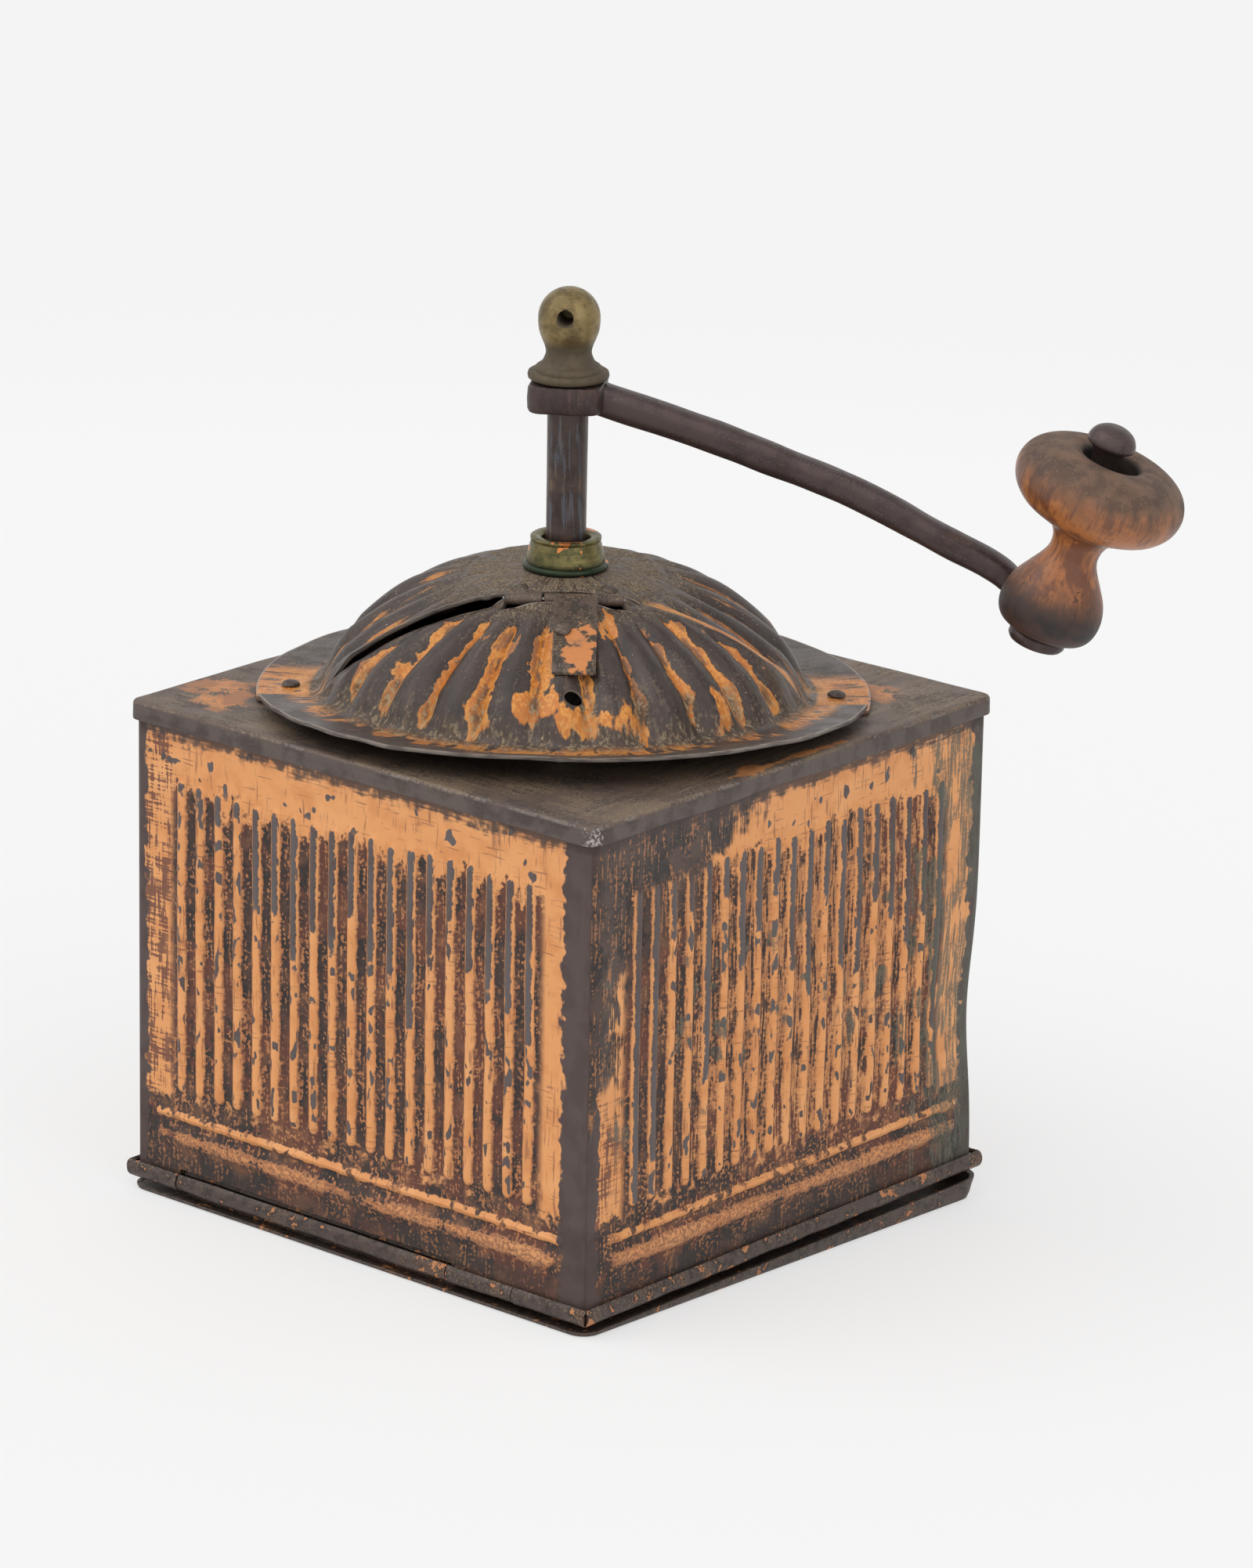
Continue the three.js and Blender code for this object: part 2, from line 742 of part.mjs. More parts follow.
function addHinge() {
  const leafAbove = -sheet - touchGap;
  const knuckleEnd = barrelJoint - runGap / 2;
  const corner = Math.hypot(hingeAt, barrelHalf);
  const cap = toSolid(turnedRing(band(leafFrom, corner + sheet, leafAbove - sheet, leafAbove, false)));
  const plan = join(
    block([leafFrom, leafTo], [-barrelHalf, barrelHalf], [0, domeTop]),
    block([leafFrom, hingeAt], [-barrelHalf, knuckleEnd], [0, domeTop]));
  const curl = block(
    [splitFront + touchGap, hingeAt], [-barrelHalf, knuckleEnd], [domeZ(corner) + leafAbove - sheet, hingeZ]);
  const leaf = fuse(cap.intersect(plan), curl, barrel(barrelOut, -barrelHalf, knuckleEnd));
  const bore = barrel(barrelBore, -barrelHalf - overrun, barrelHalf + overrun);
  const leafHoles = [-1, 1].map((side) => acrossDome(
    rivetHole, leafRivetAt, side * leafRivetSpread, -overrun, overrun));
  addPiece('hinge_leaf', cut(leaf, bore, ...leafHoles), wornTin).rotation.z = lidAzimuth;
  const strap = join(
    alongY(
      band(hingeAt, strapTo, touchGap, touchGap + strapThick, true),
      strapShift - strapHalf, strapShift + strapHalf),
    barrel(barrelOut, barrelJoint + runGap / 2, barrelHalf));
  const strapHole = acrossDome(rivetHole, strapRivetAt, 0, -overrun, overrun);
  addPiece('lid_strap', cut(strap, bore, strapHole), wornTin).rotation.z = lidAzimuth;
  const pin = barrel(hingePinRadius, -barrelHalf - touchGap, barrelHalf + touchGap);
  addPiece('hinge_pin', toSolid(pin), steel).rotation.z = lidAzimuth;
  for (const [name, side] of [['hinge_rivet_left', -1], ['hinge_rivet_right', 1]]) {
    const fixed = domeRivet(leafRivetAt, side * leafRivetSpread, leafAbove - sheet - touchGap, touchGap, 0);
    addPiece(name, toSolid(fixed), wornTin).rotation.z = lidAzimuth;
  }
  const lift = lidLift(strapRivetAt, strapRivetAt);
  const moving = domeRivet(strapRivetAt, 0, -sheet - crownStep - touchGap, 2 * touchGap + strapThick, lift);
  addPiece('strap_rivet', toSolid(moving), wornTin).rotation.z = lidAzimuth;
}

// The collar on the crown

function addCollar() {
  const seat = domeZ(domeHole) + touchGap;
  const top = seat + collarRise;
  addPiece('spindle_collar', toSolid(turnedRing([
    [collarBore, seat - collarSpigotDrop],
    [collarSpigot, seat - collarSpigotDrop],
    [collarSpigot, seat],
    [collarFoot, seat],
    [collarFoot, seat + collarRim],
    [(collarFoot + collarTopRadius) / 2, seat + collarRise / 2],
    [collarTopRadius, top],
    [collarBore, top],
  ])), greenBrass);
}

// The spindle and what it carries

function addSpindle() {
  const shaft = turned([
    [0, spindleBottom],
    [spindleRadius - spindleChamfer, spindleBottom],
    [spindleRadius, spindleBottom + spindleChamfer],
    [spindleRadius, spindleShoulder],
    [threadRadius, spindleShoulder],
    [threadRadius, threadTop],
    [0, threadTop],
  ]);
  addPiece('spindle', cut(toSolid(shaft), burrCrossHole()), darkIron);
  const cross = rod(burrPinRadius, -innerHubRadius, innerHubRadius, coarse)
    .rotateX(Math.PI / 2)
    .translate(0, 0, burrPinZ);
  addPiece('burr_pin', toSolid(cross), steel);
}

function burrCrossHole() {
  const reach = innerHubRadius + overrun;
  return rod(burrPinRadius + touchGap, -reach, reach, coarse)
    .rotateX(Math.PI / 2)
    .translate(0, 0, burrPinZ);
}

// A ring with V teeth: loop points are [radius, z, how far a tooth stands out]
function toothedRing(loop) {
  const columns = 2 * toothCount;
  return wovenRing(loop.length, columns, (row, column) => {
    const [radius, z, tooth] = loop[row];
    const angle = 2 * Math.PI * column / columns;
    const r = radius + (column % 2 ? tooth : 0);
    return [r * Math.cos(angle), r * Math.sin(angle), z];
  });
}

function addInnerBurr() {
  const shoulder = (burrPinZ + burrTopZ) / 2;
  const ring = toothedRing([
    [coreRunRadius, innerBottom, 0],
    [innerBottomRadius - innerTooth, innerBottom, innerTooth],
    [innerTopRadius - innerTooth, burrTopZ, innerTooth],
    [innerHubRadius, shoulder, 0],
    [innerHubRadius, innerTop, 0],
    [coreRunRadius, innerTop, 0],
  ]);
  addPiece('inner_burr', cut(toSolid(ring), burrCrossHole()), castIron);
}

function addHousing() {
  const flangeTopZ = coverUnder - touchGap;
  const flangeUnderZ = flangeTopZ - housingFlangeThick;
  const ring = toothedRing([
    [openingRadius, flangeTopZ, 0],
    [bowlKneeRadius, bowlKneeZ, 0],
    [throatRadius, throatZ, 0],
    [burrTopRadius, burrTopZ, -outerTooth],
    [burrBottomRadius, housingBottom, -outerTooth],
    [housingFoot, housingBottom, 0],
    [housingFoot, housingBottom + housingFootThick, 0],
    [burrTopRadius + 2 * bowlWall, housingBottom + housingFootThick, 0],
    [throatRadius + bowlWall, throatZ - bowlWall, 0],
    [bowlKneeRadius + bowlWall, bowlKneeZ - bowlWall / 2, 0],
    [openingRadius, flangeUnderZ, 0],
    [housingFlange, flangeUnderZ, 0],
    [housingFlange, flangeTopZ, 0],
  ]);
  const holes = ringOfHoles(
    screwShank + touchGap, screwCircle, flangeUnderZ - overrun, coverTop, quarterTurns);
  const footHoles = ringOfHoles(
    bridgeScrewShank + touchGap, bridgeScrewCircle,
    housingBottom - overrun, bridgeScrewTop + touchGap, sideTurns);
  addPiece('burr_housing', cut(toSolid(ring), ...holes, ...footHoles), castIron);
}

function hexagon(corner, bore, from, to) {
  const shape = outline(circlePoints(corner, 6));
  shape.holes.push(new THREE.Path(circlePoints(bore, coarse).map(([x, y]) => new THREE.Vector2(x, y))));
  return standing(shape, from, to);
}

// A round-headed screw along Z, its head standing on a height
function screw(shank, head, headRise, from, seat) {
  return turned([
    [0, from],
    [shank, from],
    [shank, seat],
    [head, seat],
    [head, seat + headRise / 2],
    [head * screwRimShare, seat + headRise],
    [0, seat + headRise],
  ], coarse);
}

function addHousingScrews() {
  const nutTopZ = coverUnder - housingFlangeThick - 2 * touchGap;
  quarterTurns.forEach((turn, k) => {
    const onBridge = k % 2 === 1;
    const seat = coverTop + touchGap + (onBridge ? bridgeThick + touchGap : 0);
    const bolt = screw(screwShank, screwHead, screwHeadRise, nutTopZ - nutThick - screwTail, seat);
    addPiece(`housing_screw_${k + 1}`, toSolid(bolt.translate(screwCircle, 0, 0).rotateZ(turn)), steel);
    const nut = hexagon(nutCorner, screwShank + touchGap, nutTopZ - nutThick, nutTopZ);
    addPiece(`housing_nut_${k + 1}`, toSolid(nut.translate(screwCircle, 0, 0).rotateZ(turn)), steel);
  });
}

function addUpperBridge() {
  const low = coverTop + touchGap;
  const bar = join(
    block([-bridgeHalf, bridgeHalf], [-bridgeReach, bridgeReach], [low, low + bridgeThick]),
    rod(bridgeBossRadius, low, low + bridgeThick + bridgeBossRise));
  const holes = [-1, 1].map((side) => rod(screwShank + touchGap, low - overrun, low + overrun, coarse)
    .translate(0, side * screwCircle, 0));
  const bore = rod(coreRunRadius, low - overrun, low + 2 * overrun);
  addPiece('upper_bridge', cut(bar, bore, ...holes), darkIron).rotation.z = lidAzimuth;
}

function addLowerBridge() {
  const footTop = housingBottom - touchGap;
  const barTop = lowerBarZ + lowerBarThick;
  const footIn = housingFoot - lowerFootWide;
  const foot = (side) => block(
    [-lowerBridgeHalf, lowerBridgeHalf],
    [Math.min(side * footIn, side * housingFoot), Math.max(side * footIn, side * housingFoot)],
    [lowerBarZ, footTop]);
  const bar = join(
    block([-lowerBridgeHalf, lowerBridgeHalf], [-footIn, footIn], [lowerBarZ, barTop]),
    foot(-1), foot(1),
    rod(lowerBossRadius, lowerBossBottom, lowerBossTop));
  const holes = [-1, 1].map((side) => rod(
    bridgeScrewShank + touchGap, lowerBarZ - overrun, footTop + overrun, coarse)
    .translate(0, side * bridgeScrewCircle, 0));
  const bearing = rod(coreRunRadius, spindleBottom - 2 * touchGap, lowerBossTop + overrun);
  const threaded = rod(adjusterRadius + touchGap, lowerBossBottom - overrun, lowerBossTop);
  const bridge = addPiece('lower_bridge', cut(bar, bearing, threaded, ...holes), darkIron);
  bridge.rotation.z = lidAzimuth;
  for (const [name, side] of [['bridge_screw_left', -1], ['bridge_screw_right', 1]]) {
    const under = touchGap - lowerBarZ;
    const bolt = screw(bridgeScrewShank, bridgeScrewHead, screwHeadRise, -bridgeScrewTop, under)
      .rotateX(Math.PI)
      .translate(0, side * bridgeScrewCircle, 0);
    addPiece(name, toSolid(bolt), steel).rotation.z = lidAzimuth;
  }
}

// The adjusting screw under the spindle, with its fluted wheel and its lock nut

function addAdjuster() {
  const columns = 4 * adjusterFlutes;
  const rim = circlePoints(adjusterWheelRadius, columns).map(([x, y], k) => {
    const scale = k % 4 < 2 ? 1 : 1 - adjusterFluteDepth / adjusterWheelRadius;
    return [scale * x, scale * y];
  });
  const wheel = standing(rim, adjusterBottom, adjusterBottom + adjusterWheelThick);
  const whole = join(wheel, rod(adjusterRadius, adjusterBottom + adjusterWheelThick / 2, adjusterTop));
  addPiece('adjusting_screw', whole, brass);
  const nut = hexagon(locknutCorner, adjusterRadius + touchGap, locknutTop - nutThick, locknutTop);
  addPiece('adjuster_locknut', toSolid(nut), steel);
}

// The crank

function polar(radius, z, degrees) {
  const angle = THREE.MathUtils.degToRad(degrees);
  return new THREE.Vector3(radius * Math.cos(angle), radius * Math.sin(angle), z);
}

const eyeCentre = polar(eyeReach, eyeZ, eyeAzimuth);
const pinAxis = new THREE.Vector3(0, 0, 1).applyAxisAngle(
  polar(1, 0, eyeAzimuth + 90), THREE.MathUtils.degToRad(pinLean));
const pinAcross = new THREE.Vector3().crossVectors(polar(1, 0, eyeAzimuth + 90), pinAxis);

// From the pin's own frame, with Z along it, X outward and the eye's centre at the origin
function ontoPin(geometry, offset = 0) {
  const side = new THREE.Vector3().crossVectors(pinAxis, pinAcross);
  const turn = new THREE.Matrix4().makeBasis(pinAcross, side, pinAxis);
  return geometry.translate(offset, 0, 0).applyMatrix4(turn).translate(...eyeCentre.toArray());
}

function armPlaces() {
  return armShares.map(([out, down]) => polar(
    out * eyeReach, bossBottom + down * (eyeZ - bossBottom), armAzimuth));
}

function armBar() {
  const curve = new THREE.CatmullRomCurve3(armPlaces());
  const section = outline(circlePoints(1, 8).map(([x, y]) => [armHalfHeight * x, armHalfWidth * y]));
  return new THREE.ExtrudeGeometry(section, { steps: 20, bevelEnabled: false, extrudePath: curve });
}

// The flat eye, and the tongue from it to the bar's end
function armEye() {
  const end = armPlaces().at(-1).sub(eyeCentre);
  const side = new THREE.Vector3().crossVectors(pinAxis, pinAcross);
  const reach = new THREE.Vector2(end.dot(pinAcross), end.dot(side));
  const way = Math.atan2(reach.y, reach.x);
  const half = eyeThick / 2;
  const tongue = standing([
    [0, -tongueRootHalf],
    [reach.length(), -tongueHalf],
    [reach.length() + tongueHalf / 2, 0],
    [reach.length(), tongueHalf],
    [0, tongueRootHalf],
  ], -half, half).rotateZ(way);
  return [ontoPin(tongue), ontoPin(rod(eyeRadius, -half, half))];
}

function addCrankArm() {
  const settings = {
    depth: bossThick - 2 * bossBevel,
    bevelSize: bossBevel,
    bevelThickness: bossBevel,
    bevelSegments: 1,
    curveSegments: arcSteps / 2,
  };
  const boss = new THREE.ExtrudeGeometry(roundedSquare(bossHalf - bossBevel, bossCorner), settings)
    .rotateZ(THREE.MathUtils.degToRad(armAzimuth))
    .translate(0, 0, bossBottom + bossBevel);
  const whole = join(boss, armBar(), ...armEye());
  const bore = rod(coreRunRadius, bossBottom - overrun, bossTop + overrun);
  const eyeHole = ontoPin(rod(pinRadius + touchGap, -overrun, eyeThick / 2 + touchGap, coarse));
  addPiece('crank_arm', cut(whole, bore, eyeHole), darkIron);
}

function addKnobPin() {
  const head = pinReach;
  addPiece('knob_pin', toSolid(ontoPin(turned([
    [0, -eyeThick / 2],
    [pinRadius, -eyeThick / 2],
    [pinRadius, head - pinNeckLength],
    [pinNeckFlare, head],
    [pinHead, head],
    [pinHead, head + pinHeadEdge],
    [pinHeadTop, head + pinHeadKnee],
    [0, head + pinHeadRise],
  ]))), darkIron);
}

function addKnob() {
  const foot = eyeThick / 2 + touchGap;
  const [, top] = knobProfile.at(-1);
  const profile = [
    [knobBore, 0],
    ...knobProfile,
    [knobSocket, top],
    [knobSocket, top - knobSocketDepth],
    [knobBore, top - knobSocketDepth],
  ];
  const ring = turnedRing(profile.map(([r, z]) => [r, z + foot]))
    .rotateY(THREE.MathUtils.degToRad(knobSlackLean));
  addPiece('wood_knob', toSolid(ontoPin(ring, knobOffset)), wood);
}

function addBallNut() {
  const ball = Array.from({ length: arcSteps + 1 }, (_, k) => {
    const angle = Math.PI / 2 * k / arcSteps;
    return [k === arcSteps ? 0 : ballRadius * Math.cos(angle), ballZ + ballRadius * Math.sin(angle)];
  });
  const body = turned([
    [0, nutBottom],
    ...nutProfile.map(([r, z]) => [r, z + nutBottom]),
    ...ball,
  ]);
  const bore = rod(threadRadius + touchGap, nutBottom - overrun, threadTop + touchGap);
  const tommy = rod(tommyRadius, -tommyPastMiddle, 2 * ballRadius, coarse)
    .rotateY(Math.PI / 2)
    .rotateZ(THREE.MathUtils.degToRad(tommyAzimuth))
    .translate(0, 0, ballZ + tommyRise);
  addPiece('ball_nut', cut(toSolid(body), bore, tommy), brass);
}

addWalls();
addRimWire();
addDoor();
addCover();
addDomeRear();
addLid();
addHinge();
addCollar();
addHousing();
addHousingScrews();
addUpperBridge();
addLowerBridge();
addAdjuster();
addSpindle();
addInnerBurr();
addCrankArm();
addKnobPin();
addKnob();
addBallNut();

export default mill;
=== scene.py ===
# %% [markdown]
# # An old tin coffee grinder
# The object is a square box of pressed and lacquered tin with a fluted dome on top. One half of the dome is
# a lid that swings up, a spindle comes up through it, and a crank with a wooden knob turns the spindle. The
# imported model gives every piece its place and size. This script gives each visible piece its real surface:
# dents, rolled edges, worn lacquer, dust, iron, brass and turned wood.

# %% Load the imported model
import bmesh
import bpy
import json
import math
import numpy as np
from mathutils import Matrix, Vector


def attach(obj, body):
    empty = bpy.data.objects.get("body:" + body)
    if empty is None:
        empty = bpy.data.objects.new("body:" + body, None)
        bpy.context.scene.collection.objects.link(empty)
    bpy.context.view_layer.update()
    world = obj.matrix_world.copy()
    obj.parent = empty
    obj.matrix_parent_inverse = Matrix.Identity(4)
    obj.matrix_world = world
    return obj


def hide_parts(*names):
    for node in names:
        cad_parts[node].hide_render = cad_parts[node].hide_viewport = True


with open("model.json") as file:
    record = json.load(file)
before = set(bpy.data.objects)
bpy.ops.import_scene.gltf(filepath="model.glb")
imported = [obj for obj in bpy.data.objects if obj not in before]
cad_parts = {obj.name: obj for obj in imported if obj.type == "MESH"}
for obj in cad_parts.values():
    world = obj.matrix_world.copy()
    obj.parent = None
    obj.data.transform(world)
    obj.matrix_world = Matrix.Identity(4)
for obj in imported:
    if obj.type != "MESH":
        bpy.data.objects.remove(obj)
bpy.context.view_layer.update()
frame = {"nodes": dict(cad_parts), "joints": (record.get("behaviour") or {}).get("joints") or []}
joints = {joint["name"]: joint for joint in frame["joints"]}

# %% [markdown]
# ## Millimetres, and a box that leans
# The grinder stands on its bottom door, which is bent and stays a little ajar, so the whole box leans back
# by about two degrees. It is easiest to shape each piece for a box that stands straight, in millimetres,
# and to lean the finished points. Both the lean and the line it turns about are in the joints: the crank's
# axis is the leaned upright, and the door's hinge is the line.

# %% Lean and scale
MM = 0.001
crank_axis = joints["crank_turn"]["axis"]
LEAN = math.asin(-crank_axis[1])
HINGE = np.array(joints["door_open"]["pos_m"]) / MM


def leaned(points):
    """Turns points of the upright box about the door's hinge line by the lean, and gives metres."""
    off = points - HINGE
    y = off[..., 1] * math.cos(LEAN) - off[..., 2] * math.sin(LEAN)
    z = off[..., 1] * math.sin(LEAN) + off[..., 2] * math.cos(LEAN)
    return (np.stack([off[..., 0], y, z], -1) + HINGE) * MM


def flat_on_floor(points):
    """The door lies level, so its points only go from millimetres to metres."""
    return points * MM


print(f"the box leans {math.degrees(LEAN):.2f} degrees")

# %% [markdown]
# ## Curves, profiles and soft steps
# Nearly every piece is either a profile turned round an axis or a section carried along a path. The helpers
# here work on whole arrays: a smooth step, a curve through a few chosen points, a lathe, and a slow ripple
# that stands for the small dents of old tin.

# %% Helpers for shapes


def eased(values, low, high):
    """0 below low, 1 above high, and 3t^2 - 2t^3 between them."""
    t = np.clip((np.asarray(values, float) - low) / (high - low), 0, 1)
    return t * t * (3 - 2 * t)


def curve_through(points, steps):
    """A Catmull-Rom curve: each span is the cubic through its two points, whose slope at a point is half the
    step between that point's neighbours."""
    p = np.asarray(points, float)
    p = np.vstack([2 * p[0] - p[1], p, 2 * p[-1] - p[-2]])
    a, b, c, d = (q[:, None] for q in (p[:-3], p[1:-2], p[2:-1], p[3:]))
    t = (np.arange(steps) / steps)[None, :, None]
    cubic = 2 * b + (c - a) * t + (2 * a - 5 * b + 4 * c - d) * t**2 + (3 * b - a - 3 * c + d) * t**3
    return np.vstack([cubic.reshape(-1, p.shape[1]) / 2, p[-2]])


def turned(profile, count=96):
    """A lathe: the profile point (r, z) goes to (r cos a, r sin a, z) for each angle a of a full turn."""
    profile = np.asarray(profile, float)
    angle = 2 * np.pi * np.arange(count) / count
    r, z = profile[:, :1], profile[:, 1:]
    return np.stack([r * np.cos(angle), r * np.sin(angle), z + 0 * angle], -1)


def about_z(x, y, z, angle):
    """Turns a point about Z: (x cos a - y sin a, x sin a + y cos a, z)."""
    c, s = math.cos(angle), math.sin(angle)
    return np.stack([x * c - y * s, x * s + y * c, z], -1)


def ripple(points, size, seed):
    """A slow random field from about -1 to 1: the mean of sines along seven random directions."""
    random = np.random.default_rng(seed)
    ways = random.normal(size=(7, points.shape[-1]))
    ways /= np.linalg.norm(ways, axis=1, keepdims=True) * size / random.uniform(3, 9, (7, 1))
    return np.sin(points @ ways.T + random.uniform(0, 2 * np.pi, 7)).mean(-1) * 2


def out_of_round(shape, amount, size, seed):
    """Makes a turned piece's radius a little uneven with a ripple."""
    swell = 1 + amount * ripple(shape, size, seed)
    return np.concatenate([shape[..., :2] * swell[..., None], shape[..., 2:]], -1)


def carried(x, section):
    """A section of points (y, z) carried straight along X."""
    section = np.asarray(section)
    return np.stack(np.broadcast_arrays(x[None, :], section[:, :1], section[:, 1:]), -1)


# %% [markdown]
# ## One builder for every new piece
# A piece is one or more closed grids of points. The builder joins each grid's points into faces, closes its
# ends, turns its faces outward by the sign of its volume, and welds the points that meet, so that poles and
# seams are closed. It also keeps numbers on the points, such as the place on the piece's own surface in
# millimetres, and the finishes read those, so a pattern follows the metal and stays on it.

# %% The builder
SHARP = math.radians(38)
WELD = 2e-7


def in_scene(name, data):
    """A new object that shows this mesh, lamp or camera."""
    thing = bpy.data.objects.new(name, data)
    bpy.context.scene.collection.objects.link(thing)
    return thing


class Piece:
    def __init__(self, name):
        self.name, self.count = name, 0
        self.points, self.faces, self.places, self.values = [], [], [], {}

    def add(self, shape, put=leaned, around=True, along=False, capped=False, place=None, **values):
        """Adds a closed grid shape[row, column]. Rows or columns run round, or their ends are capped."""
        rows, columns = shape.shape[:2]
        index = np.arange(rows * columns).reshape(rows, columns)
        grid = np.hstack([index, index[:, :1]]) if around else index
        grid = np.vstack([grid, grid[:1]]) if along else grid
        quads = np.stack([grid[:-1, :-1], grid[:-1, 1:], grid[1:, 1:], grid[1:, :-1]], -1).reshape(-1, 4)
        flat = shape.reshape(-1, 3)
        a, b, c, d = (flat[quads[:, k]] - flat.mean(0) for k in range(4))
        volume = (a * (np.cross(b, c) + np.cross(c, d))).sum()
        faces = (quads if volume > 0 else quads[:, ::-1]).tolist()
        if capped:
            ends = [index[:, 0], index[::-1, -1]] if along else [index[0, ::-1], index[-1]]
            faces += [(end if volume > 0 else end[::-1]).tolist() for end in ends]
        self.faces += [[k + self.count for k in face] for face in faces]
        self.points.append(put(flat))
        self.places.append((shape if place is None else place).reshape(-1, 3))
        for name, value in values.items():
            held = self.values.setdefault(name, [np.zeros(self.count)])
            held.append(np.broadcast_to(value, (rows, columns)).ravel())
        self.count += len(flat)
        for held in self.values.values():
            held.append(np.zeros(self.count - sum(map(len, held))))
        return self

    def made(self, finish, sharp=SHARP):
        """Makes the mesh, welds it, and shades it smooth between its sharp edges."""
        mesh = bpy.data.meshes.new(self.name)
        mesh.from_pydata(np.vstack(self.points), [], self.faces)
        fields = {"place": ("FLOAT_VECTOR", "vector", np.vstack(self.places))}
        for name, held in self.values.items():
            fields[name] = ("FLOAT", "value", np.concatenate(held))
        for name, (kind, key, numbers) in fields.items():
            mesh.attributes.new(name, kind, "POINT").data.foreach_set(key, numbers.ravel().astype(np.float32))
        welded = bmesh.new()
        welded.from_mesh(mesh)
        bmesh.ops.remove_doubles(welded, verts=welded.verts, dist=WELD)
        bmesh.ops.dissolve_degenerate(welded, edges=welded.edges, dist=WELD)
        welded.to_mesh(mesh)
        welded.free()
        mesh.shade_smooth()
        mesh.set_sharp_from_angle(angle=sharp)
        mesh.materials.append(finish)
        return in_scene(self.name, mesh)

    def done(self, body, nodes, slot, finish, sharp=SHARP):
        """Sets the finished piece on its body, in place of its nodes."""
        thing = self.made(finish, sharp)
        mesh = thing.data
        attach(thing, body)
        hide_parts(*nodes)
        mesh.calc_loop_triangles()
        print(f"{self.name}: {len(mesh.loop_triangles)} triangles on {body}")
        return thing


def cut_hole(thing, shape, put, **values):
    """Takes a turned shape out of a piece with a Boolean modifier and keeps the result as its mesh."""
    cutter = Piece("cutter").add(shape, put, **values).made(None)
    hole = thing.modifiers.new("hole", "BOOLEAN")
    hole.object, hole.operation, hole.solver = cutter, "DIFFERENCE", "EXACT"
    result = bpy.data.meshes.new_from_object(thing.evaluated_get(bpy.context.evaluated_depsgraph_get()))
    thing.modifiers.clear()
    thing.data = result
    bpy.data.objects.remove(cutter)


# %% [markdown]
# ## Shader sums as Python sums
# A finish is a sum of masks: here the lacquer has gone, there dust lies. A `Wire` holds one socket of a
# material, and Python's operators on it add Math nodes, so a mask is written as a formula. A `Finish` is
# one material, and its `add` makes any other node: first its settings, and then its sockets' values or
# links.

# %% Wires and finishes
SEED_STEPS = (7.31, 3.17, 5.77)


def operator(operation, flipped=False):
    """A Python operator of two numbers, either of them a wire, as a Math node."""
    return lambda self, other: self.math(operation, *((other, self) if flipped else (self, other)))


class Wire:
    def __init__(self, finish, socket):
        self.finish, self.socket = finish, socket

    def math(self, operation, *numbers):
        return self.finish.add("ShaderNodeMath", {"operation": operation}, dict(enumerate(numbers)))

    __add__ = __radd__ = operator("ADD")
    __mul__ = __rmul__ = operator("MULTIPLY")
    __or__ = __ror__ = operator("MAXIMUM")
    __sub__, __rsub__ = operator("SUBTRACT"), operator("SUBTRACT", flipped=True)

    def __abs__(self):
        return self.math("ABSOLUTE", self)

    def __neg__(self):
        return self * -1.0

    def root(self):
        return self.math("SQRT", self)

    def past(self, low, high):
        """0 where this is below low, 1 above high, and eased between them. It falls if low is above high."""
        ends = {"Value": self, "From Min": min(low, high), "From Max": max(low, high)}
        rising = self.finish.add("ShaderNodeMapRange", {"interpolation_type": "SMOOTHSTEP"}, ends)
        return rising if low < high else 1 - rising

    def within(self, low, high, soft):
        """1 between low and high, with soft sides."""
        return self.past(low - soft, low + soft) * self.past(high + soft, high - soft)


